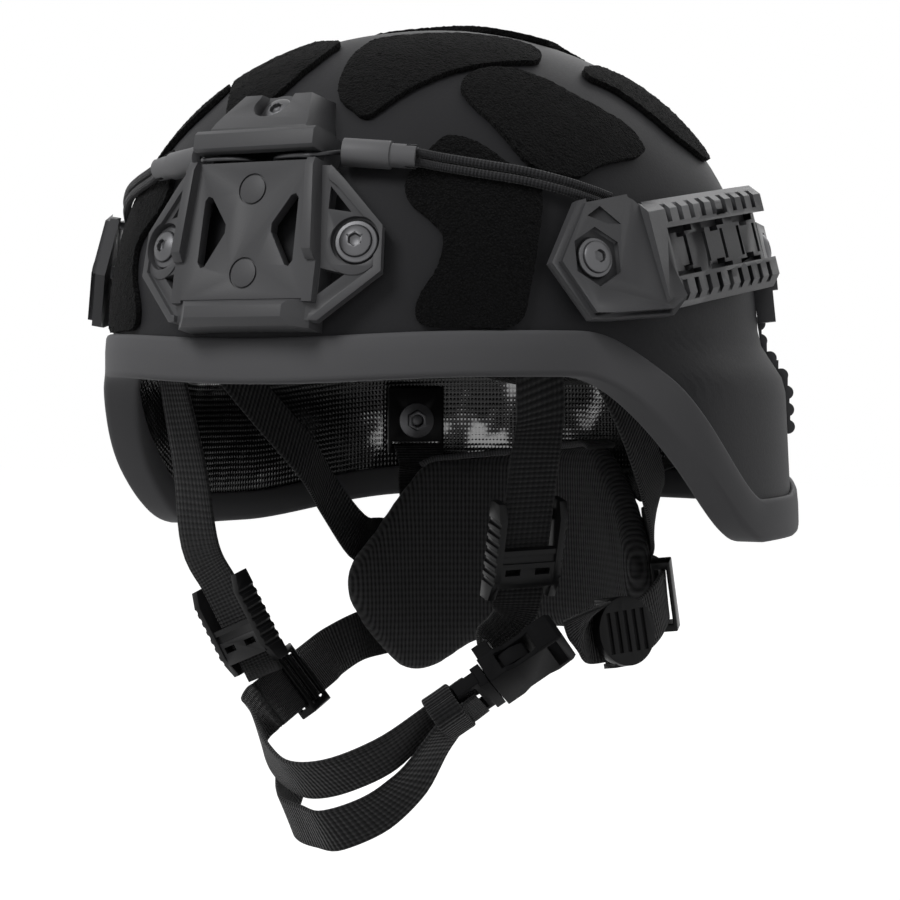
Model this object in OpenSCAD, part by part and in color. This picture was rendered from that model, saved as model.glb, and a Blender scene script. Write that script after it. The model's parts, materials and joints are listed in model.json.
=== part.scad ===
// Combat helmet: laminated bowl with edge trim, front shroud, side rails, hook-and-loop panels,
// suspension pads, harness with adjusters, nape pad, chin straps and side-release buckle.
// Millimetres. The front faces -Y, the wearer's left is +X, and Z = 0 is the front brim's lower edge.

/* [Shell] */
// Half width of the bowl above the ears
shell_half_w = 115; // [108:1:122]
// Reach of the bowl to the front of the centre
shell_front = 131; // [122:1:140]
// Reach of the bowl to the rear of the centre
shell_rear = 130; // [122:1:140]
// Height of the crown above the front brim
shell_crown = 129.5; // [120:0.5:140]
// Thickness of the laminate
shell_wall = 8; // [6:0.5:9.5]
// Squareness of the plan, 2 is an ellipse
plan_power = 2.2; // [2:0.05:2.4]
// How far the ears stand out from the bowl
ear_swell = 10.5; // [6:0.5:13]
// Depth of the ears below the front brim
ear_drop = 57; // [48:1:66]
// Depth of the rear edge below the front brim
rear_drop = 47.5; // [38:0.5:54]
// Rise of the brim from its middle to the temples
temple_rise = 2.5; // [0:0.5:5]

/* [Edge trim] */
// Height of the trim's outer leg
trim_h = 12.5; // [9:0.5:16]
// Wall of the rubber channel
trim_wall = 2.3; // [1.6:0.1:3]

/* [Shroud] */
// Half width of the central plate
plate_half_w = 25; // [22:0.5:28]
// Thickness of the central plate
plate_t = 4; // [3:0.5:5]
// Height of the plate's face above the shell
plate_stand = 8.5; // [7.5:0.5:10]
// Distance of each side screw from the middle
side_screw_x = 36.5; // [35:0.5:38]
// Angle by which each wing folds back
wing_fold = 20; // [16:1:24]

/* [Screws] */
// Diameter of the screw shanks
screw_d = 5; // [4:0.5:6]
// Diameter of the screw heads
head_d = 11; // [9:0.5:12]
// Diameter of the washers under the shroud's side screws
washer_d = 15.5; // [14:0.5:16]

/* [Rails] */
// Height of the rail's section along the shell
rail_h = 38; // [34:1:40]
// Thickness of the rail's floor
rail_floor = 4; // [3:0.5:5]
// Depth of the rail from its back to its lips
rail_depth = 8.5; // [7:0.5:10]
// Width of the open channel between the lips
channel_w = 19; // [17:1:21]
// Number of teeth along each edge
rail_teeth = 9; // [5:1:12]
// Gap between the rail and the shell, filled by spacers
rail_stand = 3; // [2:0.5:4]

/* [Pads] */
// Thickness of the suspension pads
pad_t = 19; // [14:1:22]
// Diameter of the crown pad
crown_pad_d = 110; // [90:5:120]
// Thickness of the nape pad
nape_t = 12; // [8:1:16]

/* [Webbing] */
// Width of the webbing
web_w = 20; // [18:0.5:22]
// Thickness of the webbing
web_t = 1.6; // [1.2:0.1:2]

/* [Adjusters and buckle] */
// Length of each strap adjuster
adjuster_l = 36; // [32:1:38]
// Wall of the adjusters' side rails
adjuster_wall = 3; // [2.4:0.2:4]
// Length of the buckle's socket
socket_l = 30; // [29:0.5:33]
// Thickness of the buckle
buckle_t = 10; // [9:0.5:11]
// Wall of the socket
socket_wall = 1.8; // [1.4:0.1:2.2]

/* [Lanyards] */
// Diameter of the elastic cord
cord_d = 3; // [2.5:0.1:3.4]
// Diameter of the sleeve that grips the cord
sleeve_d = 9.6; // [8.4:0.2:10]
// Diameter of the hook's wire
wire_d = 1.6; // [1.2:0.1:1.8]

/* [Loop panels] */
// Thickness of the loop fabric
loop_t = 2; // [1.2:0.1:2.6]

/* [Hidden] */

// Clearance between pieces that seat on each other
seat_gap = 0.3;
// Clearance of soft pieces on curved walls
soft_gap = 0.6;
// Clearance between pieces that slide on each other
run_gap = 0.35;
// Clearance of a screw in its hole
hole_gap = 0.25;

// Shape of the bowl: where its wall starts to lean in, and the two powers of its arc
spring_z = 3;
arc_p = 2.14;
arc_q = 2.4;
// Height at which the ear's swell begins and ends, its flare below, and its share at the rear
swell_top = 16;
swell_low = -6;
swell_flare = 0.05;
rear_share = 0.4;

// Grid of the bowl: meridians, rows below the seam and rows above it
meridian_step = 6;
low_rows = 6;
high_rows = 11;
seam_z = 24;
row_count = low_rows + high_rows;

function ease(x, a, b) = let (t = max(0, min(1, (x - a) / (b - a)))) t * t * (3 - 2 * t);
function wrapped(a) = ((a + 180) % 360 + 360) % 360 - 180;
// Angle from the ear, from -90 at the front to 90 at the rear, the same on both sides
function ear_angle(a) = let (w = wrapped(a)) abs(w) <= 90 ? w : sign(w) * 180 - w;
function plan_radius(a) = pow(
    pow(abs(cos(a)) / shell_half_w, plan_power)
    + pow(abs(sin(a)) / (sin(a) < 0 ? shell_front : shell_rear), plan_power), -1 / plan_power);
function rim_z(a) = let (
    m = ear_angle(a),
    brim = temple_rise * ease(m, -90, -52),
    side = brim + (-ear_drop - brim) * ease(m, -40, 3),
    back = -ear_drop + (ear_drop - rear_drop) * ease(m, 18, 56))
    m < 10 ? side : back;
function swell(a, z) = let (
    m = ear_angle(a),
    around = ease(m, -46, -14) * (1 - (1 - rear_share) * ease(m, 36, 74)))
    around * (ear_swell * ease(-z, -swell_top, -swell_low) + swell_flare * max(0, swell_low - z));
function arc_share(z) = let (t = max(0, min(1, (z - spring_z) / (shell_crown - spring_z))))
    pow(max(0, 1 - pow(t, arc_q)), 1 / arc_p);
function bowl_point(a, z) = let (r = plan_radius(a) * arc_share(z)) [r * cos(a), r * sin(a), z];
function shell_point(a, z) = let (r = plan_radius(a) * arc_share(z) + swell(a, z)) [r * cos(a), r * sin(a), z];
function unit(v) = v / norm(v);
function bowl_normal(a, z) = z > shell_crown - 0.01 ? [0, 0, 1] :
    unit(cross(bowl_point(a + 0.5, z) - bowl_point(a - 0.5, z), bowl_point(a, z) - bowl_point(a, z - 0.4)));
function shell_normal(a, z) =
    unit(cross(shell_point(a + 0.5, z) - shell_point(a - 0.5, z), shell_point(a, z) - shell_point(a, z - 0.4)));
// A point off the shell's outer face, outwards if the distance is positive
function off_shell(a, z, d) = shell_point(a, z) + d * bowl_normal(a, z);
function inside(a, z, d) = off_shell(a, z, -shell_wall - d);
function row_z(a, j) = j <= low_rows
    ? rim_z(a) + (seam_z - rim_z(a)) * j / low_rows
    : seam_z + (shell_crown - seam_z) * sin(90 * (j - low_rows) / high_rows);
// Height of the bowl over a point of the plan, for what lies near the crown
function crown_z(x, y) = let (g = min(1, norm([x, y]) / plan_radius(atan2(y, x))))
    spring_z + (shell_crown - spring_z) * pow(max(0, 1 - pow(g, arc_p)), 1 / arc_q);

// Faces of a closed strip: every ring has the same points, outer ones first and inner ones back again
function quad(a, b, c, d) = [[a, b, c], [a, c, d]];
function strip_faces(rings, n, closed = false) = concat(
    [for (r = [0 : rings - (closed ? 1 : 2)]) for (c = [0 : n - 1])
        let (s = (r + 1) % rings, p = r * n + c, q = r * n + (c + 1) % n, t = s * n + (c + 1) % n, u = s * n + c)
        for (f = c < n / 2 ? quad(p, q, t, u) : quad(q, t, u, p)) f],
    closed ? [] : [for (k = [0 : n / 2 - 2]) for (f = quad(n - 1 - k, n - 2 - k, k + 1, k)) f],
    closed ? [] : [for (k = [0 : n / 2 - 2]) let (b = (rings - 1) * n)
        for (f = quad(b + k, b + k + 1, b + n - 2 - k, b + n - 1 - k)) f]);
module strip(rings, closed = false) {
    polyhedron(points = [for (r = rings) for (p = r) p],
        faces = strip_faces(len(rings), len(rings[0]), closed), convexity = 6);
}
// A closed skin over rings between two end points
module skin(rings, first, last) {
    n = len(rings[0]);
    count = len(rings);
    points = concat([for (r = rings) for (p = r) p], [first, last]);
    faces = concat(
        [for (r = [0 : count - 2]) for (c = [0 : n - 1])
            for (f = quad(r * n + c, r * n + (c + 1) % n, (r + 1) * n + (c + 1) % n, (r + 1) * n + c)) f],
        [for (c = [0 : n - 1]) [count * n, (c + 1) % n, c]],
        [for (c = [0 : n - 1]) [count * n + 1, (count - 1) * n + c, (count - 1) * n + (c + 1) % n]]);
    polyhedron(points = points, faces = faces, convexity = 6);
}

// A slab between two distances off the shell, over a patch of its grid
module shell_slab(first, last, low_row, high_row, low, high) {
    strip([for (i = [first : last]) let (a = i * meridian_step) concat(
        [for (j = [low_row : high_row]) off_shell(a, row_z(a, j), high)],
        [for (j = [high_row : -1 : low_row]) off_shell(a, row_z(a, j), low)])]);
}
// The solid inside the shell's outer face, with a seating gap, for shaping what lies on it
module shell_body_near(first, last, low_row = 0, high_row = row_count - 1, gap = seat_gap) {
    shell_slab(first, last, low_row, high_row, -40, gap);
}
// Local Z along the shell's normal, local X downwards, local Y around
module at_shell(a, z, d = 0) {
    n = bowl_normal(a, z);
    translate(off_shell(a, z, d)) rotate([0, acos(n[2]), atan2(n[1], n[0])]) children();
}
module mirrored(side) {
    if (side > 0) children();
    else mirror([1, 0, 0]) children();
}

// Places of the screws and anchors: angle round the bowl and height
front_bolt = [-38, 38];
rear_rail_bolt = [23, 46];
rear_bolt = [55, -19];
shroud_side_bolt = [-90 + atan2(side_screw_x, 0.985 * shell_front - 7), 43];
shroud_top_bolt = [-90, 84];
function bolts(side) = [for (b = [front_bolt, rear_rail_bolt, rear_bolt, shroud_side_bolt])
    [side > 0 ? b[0] : 180 - b[0], b[1]]];
hole_d = screw_d + 2 * hole_gap;

module shell_holes() {
    for (side = [1, -1]) for (b = bolts(side)) at_shell(b[0], b[1], 5) translate([0, 0, -25]) cylinder(d = hole_d, h = 30, $fn = 32);
    at_shell(shroud_top_bolt[0], shroud_top_bolt[1], 5) translate([0, 0, -25]) cylinder(d = hole_d, h = 30, $fn = 32);
}

module shell() {
    color("dimgray") difference() {
        skin(concat(
            [for (j = [row_count - 1 : -1 : 0]) [for (a = [0 : meridian_step : 359]) off_shell(a, row_z(a, j), 0)]],
            [for (j = [0 : row_count - 1]) [for (a = [0 : meridian_step : 359]) inside(a, row_z(a, j), 0)]]),
            [0, 0, shell_crown], [0, 0, shell_crown - shell_wall]);
        shell_holes();
    }
}

// Rubber channel over the shell's edge; its legs keep their width square to the edge where it slopes
trim_seat = 1.35;
// A point off the shell's flat facets near its edge
function off_facet(a, z, d) = let (
    q = (z - rim_z(a)) * low_rows / (seam_z - rim_z(a)),
    j = max(0, floor(q)),
    base = d < -shell_wall / 2 ? -shell_wall : 0,
    low = off_shell(a, row_z(a, j), base),
    high = off_shell(a, row_z(a, j + 1), base))
    low + (q - j) * (high - low) + (d - base) * bowl_normal(a, z);
function edge_slope(a) = (rim_z(a + 1) - rim_z(a - 1)) / norm(shell_point(a + 1, 0) - shell_point(a - 1, 0));
function leg(a, h) = h * sqrt(1 + pow(edge_slope(a), 2));
module edge_trim() {
    inner_leg = 9;
    color("gray") strip([for (a = [0 : meridian_step : 359]) let (
        z = rim_z(a),
        top = z + leg(a, trim_h),
        inner_top = z + leg(a, inner_leg),
        foot = z - trim_wall - trim_seat) [
            off_facet(a, foot, trim_wall - 0.8),
            off_facet(a, foot + 1, trim_wall + 0.4),
            off_facet(a, top, trim_wall + 0.1),
            off_facet(a, top, trim_seat),
            off_facet(a, z - trim_seat, trim_seat),
            off_facet(a, z - trim_seat, -shell_wall - trim_seat),
            off_facet(a, inner_top, -shell_wall - trim_seat),
            off_facet(a, inner_top, -shell_wall - trim_wall - 0.2),
            off_facet(a, foot + 1, -shell_wall - trim_wall - 0.4),
            off_facet(a, foot, -shell_wall - trim_wall + 1)]], closed = true);
}

// Front shroud, drawn in its own frame: X across, Y up the slope and Z outwards
shroud_z = 52;
shroud_tilt = 12;
plate_top = 18.5;
ledge_top = -29;
ledge_bottom = -38.5;
lip_bottom = 22;
lip_top = 29.5;
lip_out = 12;
lip_half_w = 23.8;
module shroud_frame() {
    translate(shell_point(-90, shroud_z)) rotate([90 - shroud_tilt, 0, 0]) children();
}
// A prism across the shroud, drawn as [up the slope, outwards]
module across(half, outline) {
    translate([-half, 0, 0]) rotate([90, 0, 90]) linear_extrude(2 * half) polygon(outline);
}
module hourglass() {
    polygon([[17.5, 7], [18.7, 5.5], [19, -16], [17.5, -18], [16, -17.5], [9.2, -6], [9.2, -3], [15.8, 6.5]]);
}
module shroud_wing() {
    difference() {
        union() {
            linear_extrude(3.5) polygon([[-3, 17], [1, 17], [6, 12.5], [20.5, -2.5], [21.5, -18], [2, -36], [-3, -36]]);
            // Raised border along the wing's edge
            linear_extrude(5) difference() {
                polygon([[1, 17], [6, 12.5], [20.5, -2.5], [21.5, -18], [2, -36], [-1, -36]]);
                polygon([[-2, 14], [4, 9.8], [18, -4], [18.8, -16.8], [1, -33.5], [-2, -34]]);
            }
        }
        translate([0, 0, -1]) linear_extrude(8) polygon([[1.5, 10], [9.5, 1.5], [1.5, 2.2]]);
        translate([0, 0, -1]) linear_extrude(8) polygon([[1, -18], [9.5, -19.5], [1, -27]]);
    }
}
module shroud_solid() {
    // Central plate
    translate([0, 0, plate_stand - plate_t]) linear_extrude(plate_t) difference() {
        polygon([[-plate_half_w, plate_top], [plate_half_w, plate_top], [plate_half_w + 3, ledge_top], [-plate_half_w - 3, ledge_top]]);
        for (s = [0, 1]) mirror([s, 0]) hourglass();
    }
    for (s = [0, 1]) mirror([s, 0, 0]) {
        // Rib beside the plate, and the lower wall that it stands on
        intersection() {
            translate([0, 0, -9]) linear_extrude(plate_stand + 13) polygon([
                [plate_half_w - 3, plate_top], [plate_half_w, plate_top], [plate_half_w + 3, -16], [plate_half_w - 0.5, -16]]);
            across(40, [[plate_top + 1, -9], [plate_top + 1, plate_stand + 2], [plate_top - 3, plate_stand + 3.8],
                [-13, plate_stand + 3.8], [-16, plate_stand + 1], [-17, -9]]);
        }
        translate([0, 0, -9]) linear_extrude(plate_stand + 9) polygon([
            [plate_half_w - 1, -15.5], [plate_half_w + 3, -15.5], [plate_half_w + 3, ledge_top - 1], [plate_half_w - 1, ledge_top - 1]]);
        // Wing, folded back to the shell
        translate([plate_half_w + 1, 0, 2.2]) rotate([0, wing_fold, 0]) {
            shroud_wing();
            translate([(side_screw_x - plate_half_w - 1) / cos(wing_fold), -10.5, -6]) cylinder(d = washer_d + 3, h = 10, $fn = 48);
        }
        // Post that carries the lip
        translate([lip_half_w - 3, plate_top - 1, -9]) cube([3, lip_bottom - plate_top + 3, 12.5]);
    }
    // Lower ledge with slanting ends
    intersection() {
        across(30, [[ledge_top + 1, -9], [ledge_top, plate_stand - 0.5], [ledge_top - 1.5, 11.5], [ledge_top - 3, 12.6],
            [ledge_bottom + 2.5, 12.6], [ledge_bottom, 10], [ledge_bottom + 0.5, -9]]);
        rotate([90, 0, 0]) translate([0, 0, -50]) linear_extrude(100) polygon([
            [-26, -9], [26, -9], [26, 5], [18, 14], [-18, 14], [-26, 5]]);
    }
    // Lip over the slit, hollow behind so that a hook fits
    difference() {
        across(lip_half_w, [[lip_bottom, -9], [lip_bottom, lip_out - 1.2], [lip_bottom + 1, lip_out], [lip_top - 1.5, lip_out], [lip_top, lip_out - 1.5], [lip_top, -9]]);
        translate([-17, lip_bottom - 2, -20]) cube([34, 6.5, 27]);
        for (s = [-1, 1]) translate([s * (lip_half_w + 1.4) - 3, lip_bottom - 2, -20]) cube([6, 20, 18]);
    }
    // Top tab: two horns beside the seat of the top screw
    intersection() {
        across(30, [[lip_top - 2.5, -20], [lip_top - 2.5, 9.5], [lip_top + 1, 9.5], [36, 6], [45, -0.5], [46.5, -20]]);
        translate([0, 0, -30]) linear_extrude(60) polygon([
            [-20, lip_top - 3], [20, lip_top - 3], [18.5, 33], [12.5, 47], [-12.5, 47], [-18.5, 33]]);
    }
}
module shroud() {
    color("dimgray") difference() {
        union() {
            shroud_frame() shroud_solid();
            at_shell(shroud_top_bolt[0], shroud_top_bolt[1], -2) cylinder(d = head_d + 5, h = top_head_seat + 2, $fn = 48);
        }
        shell_body_near(-22, -8, 0, row_count - 2);
        // Round bosses, ring grooves in the plate's face
        shroud_frame() for (v = [9, -20]) translate([0, v, plate_stand - 0.8]) difference() {
            cylinder(d = 11, h = 4, $fn = 48);
            cylinder(d = 9.6, h = 4, $fn = 48);
        }
        // Screw holes and seats
        for (side = [1, -1]) {
            b = bolts(side)[3];
            at_shell(b[0], b[1], shroud_head_seat) cylinder(d = washer_d + 1.2, h = 20, $fn = 48);
            at_shell(b[0], b[1], -4) cylinder(d = hole_d, h = 20, $fn = 32);
        }
        at_shell(shroud_top_bolt[0], shroud_top_bolt[1], top_head_seat) union() {
            cylinder(d = head_d + 3, h = 20, $fn = 48);
            translate([-30, -head_d / 2 - 1, 0]) cube([30, head_d + 2, 20]);
        }
        at_shell(shroud_top_bolt[0], shroud_top_bolt[1], -4) cylinder(d = hole_d, h = 20, $fn = 32);
    }
}
// Height above the shell at which the screw heads sit
shroud_head_seat = 4;
top_head_seat = 9;

// A button head with a hex socket; local Z = 0 is the seat, the shank goes down
module button_screw(shank_l, washer = 0) {
    hex_d = 4.6;
    head_h = 3;
    washer_t = washer > 0 ? 1.4 : 0;
    if (washer > 0) cylinder(d1 = washer, d2 = washer - 1, h = washer_t, $fn = 48);
    difference() {
        translate([0, 0, washer_t]) intersection() {
            cylinder(d = head_d, h = head_h, $fn = 48);
            translate([0, 0, head_h - head_d * 0.85]) sphere(r = head_d * 0.85, $fn = 48);
        }
        translate([0, 0, washer_t + 0.8]) cylinder(d = hex_d, h = head_h, $fn = 6);
    }
    translate([0, 0, -shank_l]) cylinder(d = screw_d, h = shank_l + washer_t, $fn = 32);
}
module shroud_screws() {
    color("silver") {
        for (side = [1, -1]) {
            b = bolts(side)[3];
            at_shell(b[0], b[1], shroud_head_seat + 0.05) button_screw(shroud_head_seat + shell_wall + 4, washer_d);
        }
        at_shell(shroud_top_bolt[0], shroud_top_bolt[1], top_head_seat + 0.05) button_screw(top_head_seat + shell_wall + 4);
    }
}
// Flanged nut on the inside of the shell, round its screw
module flange_nut() {
    difference() {
        union() {
            cylinder(d = 15, h = 1.5, $fn = 48);
            cylinder(d = 9, h = 4.5, $fn = 6);
        }
        translate([0, 0, -1]) cylinder(d = screw_d + 0.1, h = 7, $fn = 32);
    }
}
module inside_seat(b, d) {
    at_shell(b[0], b[1], -shell_wall - d) mirror([0, 0, 1]) children();
}
nut_seat = 0.7;
module shroud_nuts() {
    color("slategray") {
        for (side = [1, -1]) inside_seat(bolts(side)[3], nut_seat) flange_nut();
        inside_seat(shroud_top_bolt, nut_seat) flange_nut();
    }
}

// Accessory rail: a nearly straight channel that stands off the shell, with a flat nose in front
rail_at = [-4, 45.5];
rail_lean = 12;
rail_rise = 7.5;
rail_bend_r = 700;
rail_front = -50;
channel_front = -41;
rail_back = 33;
lip_h = (rail_h - channel_w) / 2;
module rail_frame() {
    translate(shell_point(rail_at[0], rail_at[1])) rotate([0, 0, rail_at[0]]) rotate([rail_rise, 0, 0]) rotate([0, -rail_lean, 0]) children();
}
// A section turned along the rail's gentle arc, between two distances from its middle
module rail_sweep(first, last) {
    turn = 57.3 / rail_bend_r;
    translate([-rail_bend_r, 0, 0]) rotate([0, 0, first * turn]) rotate_extrude(angle = (last - first) * turn, $fn = 720)
        translate([rail_bend_r + rail_stand, 0]) children();
}
module along_rail(y, z = 0) {
    // Local X outwards, Y backwards, Z up the slope, origin on the rail's back
    turn = 57.3 / rail_bend_r;
    translate([-rail_bend_r, 0, 0]) rotate([0, 0, y * turn]) translate([rail_bend_r + rail_stand, 0, z]) children();
}
module rail_bar() {
    polygon([[0, -rail_h / 2], [rail_depth - 3.5, -rail_h / 2], [rail_depth, -rail_h / 2 + 4], [rail_depth, rail_h / 2 - 4],
        [rail_depth - 3.5, rail_h / 2], [0, rail_h / 2]]);
}
module rail_channel() {
    polygon([[rail_floor, -channel_w / 2], [rail_depth + 1, -channel_w / 2 + 1.2], [rail_depth + 1, channel_w / 2 - 1.2], [rail_floor, channel_w / 2]]);
}
module rail_cuts() {
    tooth_pitch = (rail_back - channel_front - 3) / rail_teeth;
    groove = tooth_pitch * 0.4;
    for (k = [0 : rail_teeth - 1]) for (s = [-1, 1]) along_rail(channel_front + 3 + k * tooth_pitch, s * (rail_h / 2 + channel_w / 2 + 1.4) / 2)
        translate([rail_depth - 1.8, -groove / 2, -lip_h / 2 + 0.2]) cube([4, groove, lip_h]);
    for (k = [0 : 4]) along_rail(-23.5 + k * 13.4) translate([rail_floor - 3, -1.1, -5.4]) cube([6, 2.2, 10.8]);
    for (k = [0 : 2]) for (s = [-1, 1]) along_rail(-26 + k * 24, s * (channel_w / 2 - 1.5)) {
        translate([rail_floor - 3, -8.5, -1.3]) cube([4, 17, 2.6]);
        translate([rail_floor - 3, -3, s > 0 ? -3 : 0.4]) cube([4, 6, 2.6]);
    }
}
module rail_nose() {
    // Front plate of the rail in the frame of the front bolt: X down, Y back, Z out
    linear_extrude(3.4) polygon([[-19.6, -4.4], [-24, 13.6], [-17, 23], [13, 37], [19, 31], [21, 4.4], [21, -3.6], [2, -17.4]]);
    linear_extrude(5.4) polygon([[-18.5, -2.6], [-22, 14.5], [-16.5, 22], [12.5, 36], [17, 30], [19, 4], [19, -2.5], [1.8, -14.6]]);
}
module rail_solid() {
    difference() {
        union() {
            rail_frame() {
                difference() {
                    rail_sweep(rail_front, rail_back) rail_bar();
                    rail_sweep(channel_front, rail_back + 5) rail_channel();
                }
                // Roof between the upper lip and the shell
                rail_sweep(channel_front + 6, rail_back) polygon([[-14, rail_h / 2 - 1], [1, rail_h / 2 - 4.5], [1, rail_h / 2 - 1.5], [-14, rail_h / 2 + 2]]);
            }
            at_shell(front_bolt[0], front_bolt[1], rail_stand + 1) rail_nose();
            // Foot of the rear screw, behind the rail's end
            at_shell(rear_rail_bolt[0], rear_rail_bolt[1], rail_stand) translate([-9, -17, 0]) cube([18, 26, 5.5]);
        }
        rail_frame() rail_cuts();
        shell_body_near(-9, 6, 1, row_count - 3, gap = rail_stand - 0.6);
        // Pocket and hole of the front bolt, and the mark above it
        at_shell(front_bolt[0], front_bolt[1], nose_head_seat) cylinder(d = 20.5, h = 20, $fn = 6);
        at_shell(front_bolt[0], front_bolt[1], -2) cylinder(d = hole_d, h = 20, $fn = 32);
        at_shell(front_bolt[0], front_bolt[1], rail_stand + 5.6) linear_extrude(4) polygon([[-17.5, 3], [-14, -2.5], [-11.4, 5.5], [-11.6, 11]]);
        at_shell(rear_rail_bolt[0], rear_rail_bolt[1], rear_head_seat) cylinder(d = head_d + 1, h = 20, $fn = 48);
        at_shell(rear_rail_bolt[0], rear_rail_bolt[1], -2) cylinder(d = hole_d, h = 20, $fn = 32);
        // Notch that the lanyard comes out of
        translate(cord_hole) rotate([-90, 0, -34]) translate([0, 0, -11]) cylinder(d = 2 * cord_d + 4.4, h = 22, $fn = 32);
    }
}
nose_head_seat = rail_stand + 4;
rear_head_seat = rail_stand + 4;
module rail_left() { color("dimgray") rail_solid(); }
module rail_right() { color("dimgray") mirrored(-1) rail_solid(); }
module rail_spacers() {
    color("black") for (side = [1, -1]) for (k = [0, 1]) {
        b = bolts(side)[k];
        at_shell(b[0], b[1], 0.35) difference() {
            cylinder(d = 14, h = rail_stand - 0.95, $fn = 48);
            translate([0, 0, -1]) cylinder(d = hole_d, h = 10, $fn = 32);
        }
    }
}
module rail_screws() {
    color("silver") for (side = [1, -1]) {
        front = bolts(side)[0];
        rear = bolts(side)[1];
        at_shell(front[0], front[1], nose_head_seat + 0.05) button_screw(nose_head_seat + shell_wall + 7, 14.5);
        at_shell(rear[0], rear[1], rear_head_seat + 0.05) button_screw(rear_head_seat + shell_wall + 4);
    }
}

// Clip behind each rail: a hooked bracket with a ribbed strip that hangs over the ear
clip_pitch = 6.6;
clip_knob = 5.4;
clip_rise = 3.2;
module rear_clip_solid() {
    difference() {
        union() {
            at_shell(30, 27, 0) {
                translate([-7, -5, -2]) cube([14, 11, 9]);
                translate([-11, -3, 3]) cube([6, 6, 6]);
            }
            for (k = [0 : 6]) at_shell(34, 20 - clip_pitch * k, clip_rise - clip_knob / 2)
                translate([0, -4, 0]) rotate([-90, 0, 0]) cylinder(d = clip_knob, h = 8, $fn = 24);
            for (k = [0 : 12]) at_shell(34, 20 - clip_pitch * k / 2, -2)
                translate([-2.6, -3.2, 0]) cube([5.2, 6.4, clip_rise + 0.4]);
        }
        shell_body_near(3, 9, 0, row_count - 4);
    }
}
module rear_clip_left() { color("dimgray") rear_clip_solid(); }
module rear_clip_right() { color("dimgray") mirrored(-1) rear_clip_solid(); }
module rear_screws() {
    color("silver") for (side = [1, -1]) at_shell(bolts(side)[2][0], bolts(side)[2][1], 0.6) button_screw(shell_wall + 9);
}

// Square plates inside the shell that hold the harness
anchor_w = 24;
anchor_h = 28;
anchor_t = 3;
anchor_seat = 1.85;
rear_anchor_seat = 3.3;
module anchor_plate() {
    difference() {
        translate([-anchor_h / 2, -anchor_w / 2, 0]) cube([anchor_h, anchor_w, anchor_t]);
        translate([0, 0, -1]) cylinder(d = hole_d, h = 6, $fn = 32);
        translate([anchor_h / 2 - 5, -web_w / 2 - 0.5, -1]) cube([2.6, web_w + 1, 6]);
    }
}
module front_anchor_left() { color("black") inside_seat(bolts(1)[0], anchor_seat) anchor_plate(); }
module front_anchor_right() { color("black") inside_seat(bolts(-1)[0], anchor_seat) anchor_plate(); }
module rear_anchor_left() { color("black") inside_seat(bolts(1)[2], rear_anchor_seat) anchor_plate(); }
module rear_anchor_right() { color("black") inside_seat(bolts(-1)[2], rear_anchor_seat) anchor_plate(); }
module anchor_nuts() {
    color("slategray") for (side = [1, -1]) {
        inside_seat(bolts(side)[0], anchor_seat + anchor_t + 0.05) flange_nut();
        inside_seat(bolts(side)[2], rear_anchor_seat + anchor_t + 0.05) flange_nut();
        inside_seat(bolts(side)[1], nut_seat) flange_nut();
    }
}

// Loop panels: a sheet that follows the shell, cut to a wavy outline seen square to its middle
module panel_frame(a, tilt) {
    // Local X around to the left, Y up, Z outwards
    rotate([0, 0, a]) rotate([0, -tilt, 0]) rotate([90, 0, 90]) children();
}
module panel(a, tilt, outline, round, first, last, low_row, high_row) {
    intersection() {
        shell_slab(first, last, low_row, high_row, seat_gap, seat_gap + loop_t);
        panel_frame(a, tilt) translate([0, 0, 60]) linear_extrude(120) offset(r = round, $fn = 20) offset(delta = -round) polygon(outline);
    }
}
side_outline = [
    [-14, 50], [-8, 56], [3, 53], [12, 45], [23, 41], [23, 30], [20, 12], [16, -8], [11, -11.5], [-15, -11.5],
    [-20, -9.5], [-20, -3], [-12, 9], [-10, 19], [-14, 24], [-22, 31], [-23, 38]];
temple_outline = [
    [-28, 13], [-27, 5], [-20, -8], [-14, -20], [-9, -25], [6, -26], [15, -19], [36, -8], [41, -2],
    [36, 6], [18, 12], [4, 21], [-6, 25], [-16, 24], [-24, 19]];
brow_outline = [
    [-31, -15], [-30, -24], [-21, -36], [-17, -34], [-5, -22], [10, -9], [30, 5], [38, 12], [38, 22],
    [33, 29], [13, 27], [-9, 22], [-21, 21], [-28, 4]];
back_outline = [
    [-28, 13], [-18, 7], [-9, -4], [1, -15], [12, -20], [22, -23], [36, -20], [40, -10], [30, 2], [20, 12],
    [9, 18], [-4, 22], [-22, 19]];
module loop_side_solid() { panel(-56, 12, side_outline, 2, -13, -5, 3, 13); }
module loop_temple_solid() { panel(-40, 42, temple_outline, 2, -12, 0, 7, 15); }
module loop_brow_solid() { panel(-64, 55, brow_outline, 2, -17, -1, 9, 16); }
module loop_back_solid() { panel(2, 50, back_outline, 2, -7, 10, 7, 16); }
module loop_side_left() { color("black") loop_side_solid(); }
module loop_side_right() { color("black") mirrored(-1) loop_side_solid(); }
module loop_temple_left() { color("black") loop_temple_solid(); }
module loop_temple_right() { color("black") mirrored(-1) loop_temple_solid(); }
module loop_brow_left() { color("black") loop_brow_solid(); }
module loop_brow_right() { color("black") mirrored(-1) loop_brow_solid(); }
module loop_back_left() { color("black") loop_back_solid(); }
module loop_back_right() { color("black") mirrored(-1) loop_back_solid(); }
function over_crown(x, y, d) = off_shell(atan2(y, x), crown_z(x, y), d);
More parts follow.
